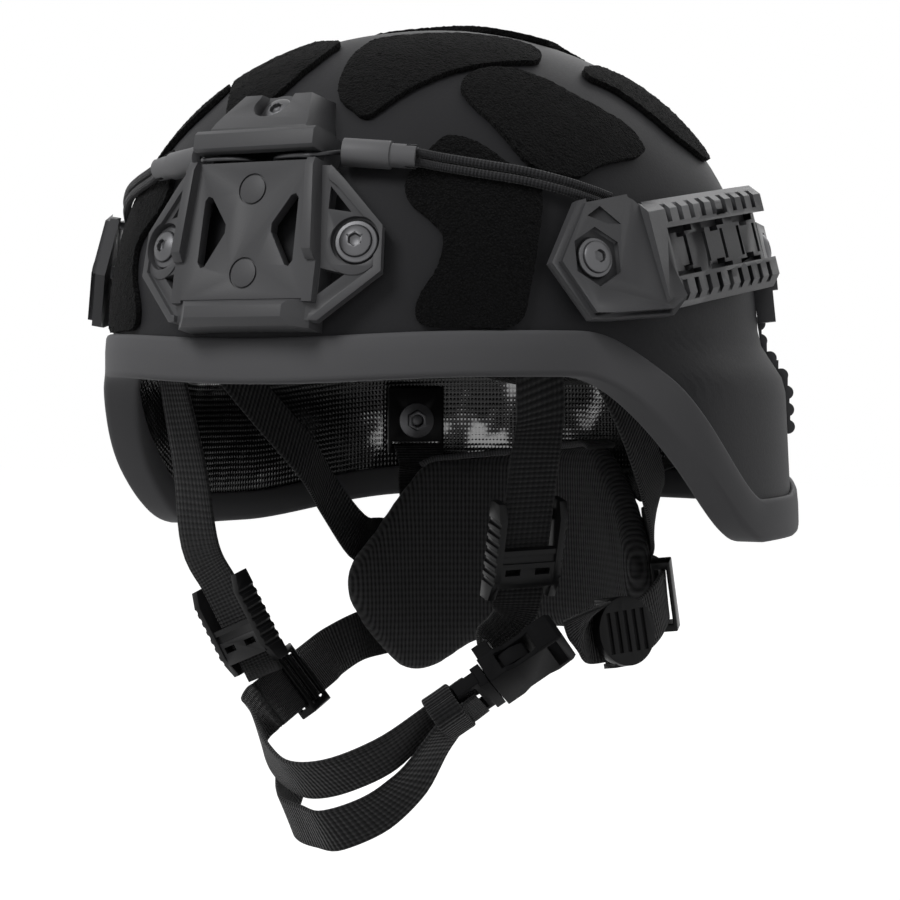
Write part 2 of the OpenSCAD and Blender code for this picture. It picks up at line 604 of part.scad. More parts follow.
module loop_crown() {
    low = seat_gap;
    high = seat_gap + loop_t;
    color("black") intersection() {
        strip([for (x = [-49 : 7 : 49]) concat(
            [for (y = [-17 : 8 : 63]) over_crown(x, y, high)],
            [for (y = [63 : -8 : -17]) over_crown(x, y, low)])]);
        translate([0, 22, 100]) linear_extrude(40) offset(r = 8, $fn = 20) offset(delta = -8)
            polygon([[-44, -22], [-24, -34], [0, -28], [24, -34], [44, -22], [38, 4], [42, 24], [16, 30], [0, 24], [-16, 30], [-42, 24], [-38, 4]]);
    }
}
module loop_rear() { color("black") panel(90, 34, [[-34, -22], [-18, -30], [0, -26], [18, -30], [34, -22], [30, 0], [34, 18], [14, 26], [0, 20], [-14, 26], [-34, 18], [-30, 0]], 6, 10, 20, 5, 14); }

// Suspension pads: closed cushions whose backs follow the shell's inside
pad_sides = 24;
function pad_profile(s) = pad_t * (0.55 + 0.45 * sqrt(max(0, 1 - s * s)));
function rounded(t, p) = pow(pow(abs(cos(t)), p) + pow(abs(sin(t)), p), -1 / p);
// A point of a side pad: u around in millimetres, v up, d inwards
function side_pad_point(a, z, u, v, d) = inside(a + u / plan_radius(a) * 57.3, z + v, soft_gap + d);
module side_pad(a, z, w, h, taper = 0) {
    back = [for (s = [0.45, 0.85, 1]) [for (k = [0 : pad_sides - 1]) let (t = 360 * k / pad_sides, r = s * rounded(t, 4))
        side_pad_point(a, z, r * cos(t) * (w / 2) * (1 + taper * r * sin(t)), r * sin(t) * h / 2, s == 1 ? 3 : 0)]];
    face = [for (s = [0.97, 0.8, 0.45]) [for (k = [0 : pad_sides - 1]) let (t = 360 * k / pad_sides, r = s * rounded(t, 4))
        side_pad_point(a, z, r * cos(t) * (w / 2) * (1 + taper * r * sin(t)), r * sin(t) * h / 2, pad_profile(s) * (s == 0.97 ? 0.9 : 1))]];
    skin(concat(back, face), side_pad_point(a, z, 0, 0, 0), side_pad_point(a, z, 0, 0, pad_profile(0)));
}
function crown_pad_point(x, y, d) = let (z = crown_z(x, y), a = atan2(y, x)) inside(a, z, soft_gap + d);
module crown_pad() {
    r0 = crown_pad_d / 2;
    back = [for (s = [0.4, 0.85, 1]) [for (k = [0 : pad_sides - 1]) let (t = 360 * k / pad_sides)
        crown_pad_point(s * r0 * cos(t), s * r0 * sin(t), s == 1 ? 3 : 0)]];
    face = [for (s = [0.97, 0.8, 0.4]) [for (k = [0 : pad_sides - 1]) let (t = 360 * k / pad_sides)
        crown_pad_point(s * r0 * cos(t), s * r0 * sin(t), pad_profile(s) * (s == 0.97 ? 0.9 : 1))]];
    color("black") skin(concat(back, face), [0, 0, shell_crown - shell_wall - soft_gap], [0, 0, shell_crown - shell_wall - soft_gap - pad_profile(0)]);
}
module front_pad() { color("black") side_pad(-90, 23, 110, 23, 0); }
module rear_pad() { color("black") side_pad(90, 20, 110, 50, 0); }
module side_pad_front_left() { color("black") side_pad(-8, 48, 58, 42); }
module side_pad_front_right() { color("black") mirrored(-1) side_pad(-8, 48, 58, 42); }
module side_pad_rear_left() { color("black") side_pad(47, 40, 56, 46); }
module side_pad_rear_right() { color("black") mirrored(-1) side_pad(47, 40, 56, 46); }

// Smooth run of webbing or cord through hand-picked points
function blend4(a, b, c, d, t) = 0.5 * ((2 * b) + (c - a) * t + (2 * a - 5 * b + 4 * c - d) * t * t + (3 * b - a - 3 * c + d) * t * t * t);
function at_index(list, i) = list[max(0, min(len(list) - 1, i))];
function smooth(list, steps) = concat(
    [for (i = [0 : len(list) - 2]) for (k = [0 : steps - 1])
        blend4(at_index(list, i - 1), list[i], list[i + 1], at_index(list, i + 2), k / steps)],
    [list[len(list) - 1]]);
function heading(list, i) = unit(at_index(list, i + 1) - at_index(list, i - 1));
// A route is a list of [point, direction of the webbing's width]
module webbing(route, steps = 3, width = web_w, thick = web_t) {
    points = smooth([for (r = route) r[0]], steps);
    sides = smooth([for (r = route) r[1]], steps);
    strip([for (i = [0 : len(points) - 1]) let (
        p = points[i],
        t = heading(points, i),
        s = unit(sides[i] - (sides[i] * t) * t),
        n = cross(t, s)) [
            p - s * width / 2 + n * thick / 2, p + s * width / 2 + n * thick / 2,
            p + s * width / 2 - n * thick / 2, p - s * width / 2 - n * thick / 2]]);
}

// Buckle: the middle of the socket's mouth, the way out of it and the direction of its width
mouth = [49.7, -52.4, -109];
buckle_axis = unit([-0.719, -0.4, -0.567]);
buckle_side = unit([0.208, -0.903, 0.398]);
buckle_up = cross(buckle_axis, buckle_side);
function at_buckle(x, y, z) = mouth + x * buckle_side + y * buckle_up + z * buckle_axis;

// Strap adjusters ride on a straight run of the front straps
left_run = [58.8, -46, -61.5];
left_down = unit([-0.22, 0.175, -0.96]);
left_side = [0.54, 0.84, 0];
right_run = [-63, -45, -94];
right_down = unit([0.39, 0.22, -0.89]);
right_side = [-0.985, 0.17, 0];
anchor_drop = anchor_seat + anchor_t + 2;
front_strap_left_route = [
    [inside(-38, 28, anchor_drop), [0.5, 0.86, 0]],
    [[76, -67, 10], [0.35, 0.93, 0]],
    [left_run - 50 * left_down, [0.45, 0.88, 0]],
    [left_run - 33 * left_down, left_side],
    [left_run - 16 * left_down, left_side],
    [left_run + 2 * left_down, left_side],
    [left_run + 19 * left_down, left_side],
    [[52.3, -42.3, -86.3], [0.42, 0.9, -0.1]],
    [[49.2, -44.2, -90.4], [0.22, 0.93, -0.3]],
    [[45.6, -46.8, -94.2], [0.05, 0.93, -0.38]],
    [at_buckle(0, 11, -3.5), -buckle_side]];
front_strap_right_route = [
    [inside(218, 28, anchor_drop), [-0.6, 0.8, 0]],
    [[-82, -66, 12], [-0.8, 0.6, 0]],
    [[-80, -62, -8], [-0.91, 0.42, 0]],
    [[-77, -57, -36], [-0.95, 0.3, 0]],
    [right_run - 33 * right_down, right_side],
    [right_run - 16 * right_down, right_side],
    [right_run + 2 * right_down, right_side],
    [right_run + 18 * right_down, right_side],
    [right_run + 22 * right_down, right_side]];
module front_strap_left() { color("black") webbing(front_strap_left_route, 2); }
module front_strap_right() { color("black") webbing(front_strap_right_route, 2); }

// Nape pad: a cushion bent round the neck, tilted a little to the wearer's right
nape_bend = 78;
nape_back_y = 96;
nape_x = -6;
nape_roll = 6;
function nape_point(u, v, d) = let (t = u / nape_bend * 57.3, r = nape_bend - d)
    [nape_x + r * sin(t), nape_back_y - nape_bend + r * cos(t), v];
// Distance around from the middle, lower edge and upper edge
nape_edges = [[0, -105, -31], [16, -106, -31], [32, -109, -31], [46, -115, -32], [56, -118, -40], [66, -116, -51],
    [76, -105, -62], [84, -93, -70], [88.5, -84, -77]];
nape_columns = concat([for (k = [len(nape_edges) - 1 : -1 : 1]) nape_edges[k]],
    [for (c = nape_edges) [-c[0], c[1], c[2]]]);
module nape_cushion() {
    strip([for (c = nape_columns) let (
        u = c[0], low = c[1], top = c[2], mid = (low + top) / 2,
        edge = abs(u) > 88 ? 0.62 : (abs(u) > 83 ? 0.85 : 1),
        thin = nape_t * (1 - edge) / 2) concat(
        [for (q = [[low, 0.3], [low + 3, 0.06], [mid, 0], [top - 3, 0.06], [top, 0.3]]) nape_point(u, q[0], thin + q[1] * nape_t * edge)],
        [for (q = [[top, 0.7], [top - 3, 0.94], [mid, 1], [low + 3, 0.94], [low, 0.7]]) nape_point(u, q[0], thin + q[1] * nape_t * edge)])]);
}
// A point off the pad's outer face after its tilt
function nape_at(u, v, d) = let (p = nape_point(u, v, d), x = p[0] - nape_x, z = p[2] + 80)
    [nape_x + x * cos(nape_roll) - z * sin(nape_roll), p[1], -80 + x * sin(nape_roll) + z * cos(nape_roll)];
module nape_pad() { color("black") translate([nape_x, 0, -80]) rotate([0, -nape_roll, 0]) translate([-nape_x, 0, 80]) nape_cushion(); }
sewn = -web_t / 2 - 0.4;
// Side straps run back from the front anchors to the nape pad
module side_strap_left() { color("black") webbing([
    [[79, -51, 27], [0.1, 0.5, 0.8]], [[81, -36, 13], [0.1, 0.5, 0.8]], [[80, -6, -10], [0.1, 0.55, 0.8]],
    [[74, 26, -33], [0.1, 0.6, 0.8]], [[69, 45, -49], [0.1, 0.4, 0.9]],
    [nape_at(78, -67, sewn), [-0.1, 0, 1]], [nape_at(70, -68, sewn), [-0.1, 0, 1]]], 2); }
module side_strap_right() { color("black") webbing([
    [[-81, -61, 26], [-0.1, 0.5, 0.8]], [[-81, -40, 14], [-0.1, 0.5, 0.8]], [[-80, -6, -10], [-0.1, 0.55, 0.8]],
    [[-78, 26, -33], [-0.1, 0.6, 0.8]], [[-79, 45, -49], [-0.1, 0.5, 0.85]],
    [nape_at(-77, -60, sewn - 0.8), [-0.1, 0.1, 1]], [nape_at(-67, -63, sewn), [-0.1, 0, 1]],
    [nape_at(-59, -65, sewn), [-0.1, 0, 1]]], 2); }

module nape_tab_left() { color("black") webbing([
    [inside(55, -30, anchor_drop + 2), [-0.8, 0.57, 0]],
    [[52, 79.3, -37], [-0.76, 0.63, 0]],
    [nape_at(60, -47, sewn), [-0.72, 0.69, 0]],
    [nape_at(58, -53, sewn), [-0.72, 0.69, 0]]], 2); }
module nape_tab_right() { color("black") webbing([
    [inside(125, -30, anchor_drop + 2), [0.8, 0.57, 0]],
    [[-56, 83.5, -37], [0.8, 0.57, 0]],
    [nape_at(-48, -37, sewn), [0.82, 0.57, 0]],
    [nape_at(-48, -46, sewn), [0.82, 0.57, 0]]], 2); }

// Local X along the buckle's width, Y through its thickness, Z out of the mouth; origin at the mouth
buckle_w = 28;
module buckle_frame() {
    multmatrix([
        [buckle_side[0], buckle_up[0], buckle_axis[0], mouth[0]],
        [buckle_side[1], buckle_up[1], buckle_axis[1], mouth[1]],
        [buckle_side[2], buckle_up[2], buckle_axis[2], mouth[2]],
        [0, 0, 0, 1]]) children();
}
// A box from its ranges in X, Y and Z
module block(x, y, z) {
    translate([x[0], y[0], z[0]]) cube([x[1] - x[0], y[1] - y[0], z[1] - z[0]]);
}
arm_reach = 17;
tongue_w = 7;
module socket_outline() {
    half = buckle_w / 2;
    polygon([
        [-half, 0], [half, 0], [half, -7], [half - 2, -10.5], [half - 2, -18], [half - 0.3, -22], [half - 1, -socket_l + 1.5],
        [half - 3, -socket_l], [-half + 3, -socket_l], [-half + 1, -socket_l + 1.5], [-half + 0.3, -22], [-half + 2, -18],
        [-half + 2, -10.5], [-half, -7]]);
}
module buckle_socket() {
    inner_w = buckle_w - 2 * socket_wall;
    inner_t = buckle_t - 2 * socket_wall;
    slot_half = web_w / 2 + 0.7;
    color("black") buckle_frame() difference() {
        union() {
            rotate([90, 0, 0]) translate([0, 0, -buckle_t / 2]) linear_extrude(buckle_t) socket_outline();
            // Loop for the front strap on the outer face
            block([-buckle_w / 2 + 0.5, buckle_w / 2 - 0.5], [buckle_t / 2 - 1, buckle_t / 2 + 4.8], [-6.5, -0.5]);
        }
        block([-slot_half, slot_half], [buckle_t / 2, buckle_t / 2 + 2.6], [-12, 5]);
        // Cavity, open at the mouth
        block([-inner_w / 2, inner_w / 2], [-inner_t / 2, inner_t / 2], [-20.5, 1]);
        // Side windows that the arms click into
        block([-buckle_w, buckle_w], [-inner_t / 2, inner_t / 2], [-20, -6]);
        // Webbing slot and its bar
        block([-slot_half, slot_half], [-buckle_t, buckle_t], [-socket_l + 3, -socket_l + 7]);
    }
}
module buckle_plug() {
    slot_half = web_w / 2 + 0.7;
    color("black") buckle_frame() {
        difference() {
            union() {
                // Shoulder outside the mouth
                block([-buckle_w / 2 + 1, buckle_w / 2 - 1], [-buckle_t / 2 + 1, buckle_t / 2 - 1], [run_gap, 4]);
                // Frame round the webbing slot
                block([-slot_half - 2.8, slot_half + 2.8], [-2.4, 2.4], [3.5, 12.5]);
            }
            block([-slot_half, slot_half], [-buckle_t, buckle_t], [6, 9.5]);
        }
        // Guide tongue between the arms
        block([-tongue_w / 2, tongue_w / 2], [-1.6, 1.6], [-17, run_gap + 0.5]);
    }
}
arm_pivot_x = 7;
arm_pivot_z = -1.5;
module arm_shape() {
    // One springing arm with its catch, drawn on the +X side
    half = buckle_w / 2;
    half_t = (buckle_t - 2 * socket_wall) / 2 - run_gap;
    rotate([90, 0, 0]) translate([0, 0, -half_t]) linear_extrude(2 * half_t) polygon([
        [arm_pivot_x - 1.8, -0.3], [arm_pivot_x + 1.8, -0.3], [half - 4.4, -5], [half - 4.4, -6.8],
        [half - socket_wall - run_gap, -6.8], [half - socket_wall - run_gap, -12], [half - 4, -arm_reach + 0.6],
        [half - 5.6, -arm_reach], [half - 6.8, -arm_reach + 1.4], [half - 6.8, -6.5]]);
}
module buckle_arm_front() { color("black") buckle_frame() arm_shape(); }
module buckle_arm_back() { color("black") buckle_frame() mirror([1, 0, 0]) arm_shape(); }

// Places of the flat loops and of the round lock on the nape straps
left_loop_at = [80.2, 29, -82.5];
right_loop_at = [-64, -3, -120.2];
lock_at = [79.5, -15, -93];
lock_run = unit([0.45, 0.88, 0.08]);
lock_side = [-0.1, 0.1, 0.98];
right_loop_run = unit([4, -21, -4]);
right_loop_side = [-0.5, -0.3, 0.75];

// Webbing that is threaded round the plug and crosses under the chin
chin_route = [
    [right_loop_at + 31.4 * right_loop_run, right_loop_side],
    [right_loop_at + 36 * right_loop_run, right_loop_side],
    [[-56, -43.5, -131], [-0.3, -0.15, 0.95]],
    [[-46, -54, -138], [-0.22, -0.2, 0.95]],
    [[-34, -64, -143], [-0.15, -0.45, 0.85]],
    [[-17, -75, -145.5], [-0.05, -0.65, 0.72]],
    [[2, -79.5, -142], [0, -0.75, 0.66]],
    [[19, -75.5, -134], [0.1, -0.75, 0.66]],
    [[30.3, -65.5, -122.7], [0.2, -0.84, 0.5]],
    [at_buckle(0, 3.7, 12), buckle_side],
    [at_buckle(0, 3.7, 7), buckle_side]];
under_chin_route = [
    [[-43.8, -39, -151], [-0.2, -0.3, 0.93]],
    [[-42, -44.4, -157], [-0.2, -0.3, 0.93]],
    [[-37.8, -51.8, -161.6], [-0.2, -0.3, 0.92]],
    [[-31.5, -58, -164], [-0.15, -0.45, 0.87]],
    [[-22, -61.5, -165], [-0.1, -0.5, 0.85]],
    [[-10, -65, -165], [0, -0.6, 0.8]],
    [[7, -63.5, -158], [0.1, -0.65, 0.75]],
    [[20, -61, -147], [0.2, -0.7, 0.7]],
    [[31.3, -61, -132], [0.25, -0.84, 0.5]],
    [at_buckle(0, -4.4, 19.5), buckle_side],
    [at_buckle(0, -4.2, 12.5), buckle_side],
    [at_buckle(0, -3.9, 7), buckle_side]];
module chin_strap() { color("black") webbing(chin_route, 2); }
module under_chin_strap() { color("black") webbing(under_chin_route, 2); }

nape_left_route = [
    [nape_at(62, -90, sewn), [-0.1, 0, 1]],
    [nape_at(72, -89, sewn), [-0.1, 0, 1]],
    [nape_at(82, -87, sewn), [-0.1, 0, 1]],
    [[74, 40.5, -80.5], [-0.1, 0, 1]],
    [left_loop_at, [-0.1, 0, 1]],
    [[83.9, 14, -86.6], [-0.1, 0.05, 1]],
    [[84.6, 1, -90.8], [-0.12, 0.1, 1]],
    [lock_at + 11 * lock_run, lock_side],
    [lock_at, lock_side],
    [lock_at - 11 * lock_run, [-0.2, 0.1, 0.97]],
    [[74.6, -30.2, -92.4], [-0.12, 0.2, 0.95]],
    [[77.6, -34.8, -88], [0.4, 0.33, 0.8]],
    [[80.5, -39.2, -83.6], -buckle_axis]];
nape_right_route = [
    [nape_at(-62, -99, sewn), [-0.1, 0, 1]],
    [nape_at(-72, -100, sewn), [-0.1, 0, 1]],
    [nape_at(-82, -101.5, sewn), [-0.15, 0, 1]],
    [right_loop_at - 42 * right_loop_run, [-0.35, -0.1, 0.9]],
    [right_loop_at - 28 * right_loop_run, right_loop_side],
    [right_loop_at - 14 * right_loop_run, right_loop_side],
    [right_loop_at, right_loop_side],
    [right_loop_at + 10 * right_loop_run, right_loop_side],
    [right_loop_at + 20 * right_loop_run, right_loop_side],
    [right_loop_at + 30 * right_loop_run, right_loop_side]];
module nape_strap_left() { color("black") webbing(nape_left_route, 2); }
module nape_strap_right() { color("black") webbing(nape_right_route, 2); }

// A frame whose local X is the webbing's width, Y its thickness and Z its run
module on_webbing(p, run, side) {
    x = unit(side - (side * run) * run);
    y = cross(run, x);
    multmatrix([
        [x[0], y[0], run[0], p[0]],
        [x[1], y[1], run[1], p[1]],
        [x[2], y[2], run[2], p[2]],
        [0, 0, 0, 1]]) children();
}
module adjuster_solid() {
    inner = web_w / 2 + run_gap + 0.4;
    outer = inner + adjuster_wall;
    bar_y = web_t / 2 + run_gap;
    half = adjuster_l / 2;
    for (s = [0, 1]) mirror([s, 0, 0]) difference() {
        rotate([90, 0, 90]) translate([0, 0, inner]) linear_extrude(adjuster_wall) polygon([
            [-3.4, -half], [2.6, -half], [5, -half + 6], [5, half - 8], [2.4, half], [-3.4, half]]);
        for (k = [-3 : 3]) translate([outer + 0.6, 0, k * 3.6]) rotate([90, 0, 0]) cylinder(d = 2.6, h = 20, center = true, $fn = 16);
    }
    // Bars on the two sides of the webbing, and the pressing plate below with its slots
    translate([-inner - 1, -bar_y - 2, -half + 4]) cube([2 * inner + 2, 2, 4]);
    translate([-inner - 1, -bar_y - 2, half - 8]) cube([2 * inner + 2, 2, 4]);
    difference() {
        translate([-inner - 1, bar_y, -1]) cube([2 * inner + 2, 3.4, 14]);
        for (s = [-1, 1]) translate([s * 6 - 3, 0, 6]) cube([6, 8, 2.4]);
        translate([-inner, bar_y + 2.4, 1]) cube([2 * inner, 4, 3]);
    }
}
module adjuster_left() { color("black") on_webbing(left_run, left_down, left_side) adjuster_solid(); }
module adjuster_right() { color("black") on_webbing(right_run, right_down, -right_side) adjuster_solid(); }

// Flat loops on the nape straps
module web_loop(l, bars) {
    inner = web_w / 2 + run_gap + 0.4;
    difference() {
        translate([-inner - 3, -3.6, -l / 2]) cube([2 * inner + 6, 7.2, l]);
        translate([-inner, -web_t / 2 - run_gap - 0.9, -l]) cube([2 * inner, web_t + 2 * run_gap + 1.8, 2 * l]);
        for (z = bars) translate([-inner, -5, z]) cube([2 * inner, 10, 4.5]);
    }
}
module nape_loop_left() { color("black") on_webbing(left_loop_at, unit([4.2, -15, -3.5]), [-0.1, 0, 1]) web_loop(7, []); }
module nape_loop_right() { color("black") on_webbing(right_loop_at, right_loop_run, right_loop_side) web_loop(17, [-6, 1.5]); }
module nape_lock() {
    // Round lock that the strap runs through, with a plain ribbed face
    color("black") on_webbing(lock_at, lock_run, lock_side) {
        difference() {
            translate([0, 3, 1]) rotate([-90, 0, 0]) cylinder(d = 25, h = 4, $fn = 64);
            for (k = [-2 : 2]) translate([-7.5, 5.8, k * 3.8 + 0.1]) cube([15, 3, 1.8]);
        }
        for (s = [0, 1]) mirror([s, 0, 0]) translate([web_w / 2 + 0.8, -3.6, -4]) cube([1.8, 7, 8]);
        translate([-web_w / 2 - 2, -3.8, -3]) cube([web_w + 4, 2, 6]);
    }
}

// Lanyards: a doubled elastic cord from the rail to a sleeve and a wire hook in the shroud's slit
cord_hole = off_shell(-33.5, 58, 6);
cord_rise = seat_gap + loop_t + cord_d / 2 + 1.1;
// The cord's route: angle, height and lift where it enters the sleeve
lanyard_route = [for (q = [[-32.5, 57.5, 0], [-36, 59.5, 0], [-41, 62, 0], [-48, 64.8, 0], [-55, 66.8, 0], [-61, 68.4, 0.6],
    [-64, 69.2, 1.4], [-66, 69.7, 1.8]]) off_shell(q[0], q[1], cord_rise + q[2])];
sleeve_route = [for (q = [[-65, 69.5], [-71, 70.6], [-76.5, 71.4]]) off_shell(q[0], q[1], cord_rise + 1.8)];
module tube(points, d, sides, steps) {
    run = smooth(points, steps);
    rings = [for (i = [0 : len(run) - 1]) let (
        t = heading(run, i),
        s = unit(cross(t, [0, 0, 1])),
        n = cross(s, t))
        [for (k = [0 : sides - 1]) run[i] + d / 2 * (cos(360 * k / sides) * s + sin(360 * k / sides) * n)]];
    skin(rings, run[0], run[len(run) - 1]);
}
module lanyard_cord_solid() {
    for (k = [-0.5, 0.5]) tube([for (p = lanyard_route) p + [0, 0, k * (cord_d + 0.3)]], cord_d, 8, 3);
}
module lanyard_sleeve_solid() {
    front = sleeve_route[2];
    rear = sleeve_route[0];
    axis = unit(front - rear);
    l = norm(front - rear);
    on_webbing(rear, axis, [0, 0, 1]) difference() {
        union() {
            cylinder(d = sleeve_d - 1.5, h = l, $fn = 48);
            translate([0, 0, l * 0.35]) cylinder(d = sleeve_d, h = l * 0.65, $fn = 48);
        }
        translate([0, 0, -1]) cube([2 * cord_d + 1.8, cord_d + 1.4, 9], center = true);
        translate([0, 0, l - 6]) cylinder(d = wire_d + 1, h = 10, $fn = 24);
    }
}
hook_route = [
    sleeve_route[2] + 5 * unit(sleeve_route[0] - sleeve_route[2]),
    sleeve_route[2] + [-1, -0.5, 0],
    [22, -127.9, 73.3],
    [16, -128.2, 73.4],
    [10, -127.6, 73.3],
    [6, -125.8, 73],
    [4.5, -123, 72.5]];
module lanyard_hook_solid() { tube(hook_route, wire_d, 8, 3); }
module lanyard_cord_left() { color("dimgray") lanyard_cord_solid(); }
module lanyard_cord_right() { color("dimgray") mirrored(-1) lanyard_cord_solid(); }
module lanyard_sleeve_left() { color("gray") lanyard_sleeve_solid(); }
module lanyard_sleeve_right() { color("gray") mirrored(-1) lanyard_sleeve_solid(); }
module lanyard_hook_left() { color("silver") lanyard_hook_solid(); }
module lanyard_hook_right() { color("silver") mirrored(-1) lanyard_hook_solid(); }

shell();
edge_trim();
shroud();
shroud_screws();
shroud_nuts();
rail_left();
rail_right();
rail_spacers();
rail_screws();
rear_clip_left();
rear_clip_right();
rear_screws();
front_anchor_left();
front_anchor_right();
rear_anchor_left();
rear_anchor_right();
anchor_nuts();
loop_side_left();
loop_side_right();
loop_temple_left();
loop_temple_right();
loop_brow_left();
loop_brow_right();
loop_back_left();
loop_back_right();
loop_crown();
loop_rear();
crown_pad();
front_pad();
rear_pad();
side_pad_front_left();
side_pad_front_right();
side_pad_rear_left();
side_pad_rear_right();
nape_pad();
nape_tab_left();
nape_tab_right();
front_strap_left();
front_strap_right();
side_strap_left();
side_strap_right();
nape_strap_left();
nape_strap_right();
chin_strap();
under_chin_strap();
adjuster_left();
adjuster_right();
nape_loop_left();
nape_loop_right();
nape_lock();
buckle_socket();
buckle_plug();
buckle_arm_front();
buckle_arm_back();
lanyard_cord_left();
lanyard_cord_right();
lanyard_sleeve_left();
lanyard_sleeve_right();
lanyard_hook_left();
lanyard_hook_right();
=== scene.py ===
"""Dresses the combat helmet's frame: shell, edge trim, loop panels, webbing, pads, hardware and studio."""

import json
import math

import bpy
from mathutils import Matrix, Vector, noise
from mathutils.bvhtree import BVHTree

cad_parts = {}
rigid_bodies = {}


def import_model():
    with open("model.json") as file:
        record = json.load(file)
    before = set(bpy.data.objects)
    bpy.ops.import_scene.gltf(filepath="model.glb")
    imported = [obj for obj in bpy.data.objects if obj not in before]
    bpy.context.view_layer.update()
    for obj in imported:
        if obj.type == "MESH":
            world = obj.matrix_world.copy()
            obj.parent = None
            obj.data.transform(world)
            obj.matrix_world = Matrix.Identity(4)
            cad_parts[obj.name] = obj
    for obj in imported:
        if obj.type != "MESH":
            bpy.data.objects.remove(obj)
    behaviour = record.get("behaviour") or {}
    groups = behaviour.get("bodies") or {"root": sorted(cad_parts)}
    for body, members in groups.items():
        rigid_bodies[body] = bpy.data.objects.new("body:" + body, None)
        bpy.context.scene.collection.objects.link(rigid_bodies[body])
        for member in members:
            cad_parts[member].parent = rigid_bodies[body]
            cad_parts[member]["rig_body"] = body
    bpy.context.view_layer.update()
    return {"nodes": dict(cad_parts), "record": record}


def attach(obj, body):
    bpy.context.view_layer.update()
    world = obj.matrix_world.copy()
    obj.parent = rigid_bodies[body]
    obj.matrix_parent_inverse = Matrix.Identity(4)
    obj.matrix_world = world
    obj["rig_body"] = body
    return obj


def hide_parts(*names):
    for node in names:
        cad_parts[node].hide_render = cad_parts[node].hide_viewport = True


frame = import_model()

bl_info = {
    "name": "Combat helmet",
    "version": (1, 0, 0),
    "blender": (4, 5, 0),
    "location": "View3D > Sidebar > Helmet",
    "description": "Dresses the frame of a combat helmet with its shell, trim, panels, webbing and pads",
    "category": "Object",
}

MM = 0.001


def linear(code):
    """An sRGB hex colour as linear red, green and blue."""
    parts = [int(code[i:i + 2], 16) / 255 for i in (1, 3, 5)]
    return tuple(c / 12.92 if c <= 0.04045 else ((c + 0.055) / 1.055) ** 2.4 for c in parts)


# Sizes and colours that a user would change


def length(name, description, default):
    """A length in metres, given in millimetres."""
    return bpy.props.FloatProperty(name=name, description=description, default=default * MM,
                                   unit="LENGTH", precision=4)


def colour(name, description, code):
    """A colour, given as an sRGB hex code."""
    return bpy.props.FloatVectorProperty(name=name, description=description, default=linear(code), size=3,
                                         subtype="COLOR", min=0, max=1)


class HelmetSizes(bpy.types.PropertyGroup):
    trim_height: length("Trim height", "Height of the edge trim's outer leg", 12.5)
    trim_wall: length("Trim wall", "Wall of the rubber trim", 2.6)
    loop_thickness: length("Loop thickness", "Thickness of the loop panels", 2)
    web_width: length("Webbing width", "Width of the webbing", 20)
    web_thickness: length("Webbing thickness", "Thickness of the webbing", 1.6)
    rib_pitch: length("Rib pitch", "Spacing of the webbing's ribs", 1.5)
    cord: length("Cord", "Diameter of the elastic cord", 3)
    edge: length("Edge radius", "Radius on the edges of the moulded pieces", 0.5)


class HelmetColours(bpy.types.PropertyGroup):
    shell: colour("Shell", "Matt paint on the shell", "#2f2f31")
    inside: colour("Inside", "Laminate inside the shell", "#101011")
    trim: colour("Trim", "Rubber of the edge trim", "#6b6b6d")
    shroud: colour("Shroud", "Hard coat on the front shroud", "#525254")
    rail: colour("Rail", "Moulded rails", "#4c4c4e")
    loop: colour("Loop", "Loop fabric", "#131314")
    webbing: colour("Webbing", "Woven webbing", "#1f1f20")
    knit: colour("Knit", "Ribbed knit on the nape pad", "#4e4e4f")
    pad: colour("Pad", "Brushed cover of the suspension pads", "#191919")
    buckle: colour("Buckle", "Black acetal of the buckle, adjusters and anchors", "#202021")
    screw: colour("Screw", "Oxide-coated screws", "#606062")
    cord: colour("Cord", "Braided cover of the elastic cord", "#38383a")
    sleeve: colour("Sleeve", "Rubber sleeve of the lanyards", "#6a6a6c")
    wire: colour("Wire", "Coated wire hooks", "#3a3a3c")


def sizes():
    return bpy.context.scene.helmet_sizes


def colours():
    return bpy.context.scene.helmet_colours


# The bowl's own formulas, in millimetres, as the frame has them

HALF_W, FRONT, REAR, CROWN, WALL = 115, 131, 130, 129.5, 8
EAR_DROP, REAR_DROP = 57, 47.5
# The height where the bowl is widest, and the powers of its plan and of its upright arc
WIDEST, PLAN_POWER, ARC_P, ARC_Q = 3, 2.2, 2.4, 2.14
# The bowl's way round and its rise, which size the weave of the inner face
BOWL_ROUND, BOWL_RISE = 760, 190
# The back of a cushion stands this far off the inner wall
SOFT_GAP = 0.6


def ease(x, a, b):
    """A smooth step from 0 at a to 1 at b."""
    t = max(0, min(1, (x - a) / (b - a)))
    return t * t * (3 - 2 * t)


def ear_angle(a):
    """The angle from the nearer ear: negative to the front, positive to the rear."""
    w = (a + 180) % 360 - 180
    return w if abs(w) <= 90 else math.copysign(180, w) - w


def plan_radius(a):
    """The bowl's radius at its widest."""
    c, s = math.cos(math.radians(a)), math.sin(math.radians(a))
    along = FRONT if s < 0 else REAR
    return ((abs(c) / HALF_W) ** PLAN_POWER + (abs(s) / along) ** PLAN_POWER) ** (-1 / PLAN_POWER)


def rim_z(a):
    """The height of the bowl's edge: a brim, a drop to the ears and a step up behind them."""
    m = ear_angle(a)
    brim = 2.5 * ease(m, -90, -52)
    side = brim + (-EAR_DROP - brim) * ease(m, -40, 3)
    back = -EAR_DROP + (EAR_DROP - REAR_DROP) * ease(m, 18, 56)
    return side if m < 10 else back


def swell(a, z):
    """How far the bowl flares out over the ears."""
    m = ear_angle(a)
    around = ease(m, -46, -14) * (1 - 0.6 * ease(m, 36, 74))
    return around * (10.5 * ease(-z, -16, 6) + 0.05 * max(0, -6 - z))


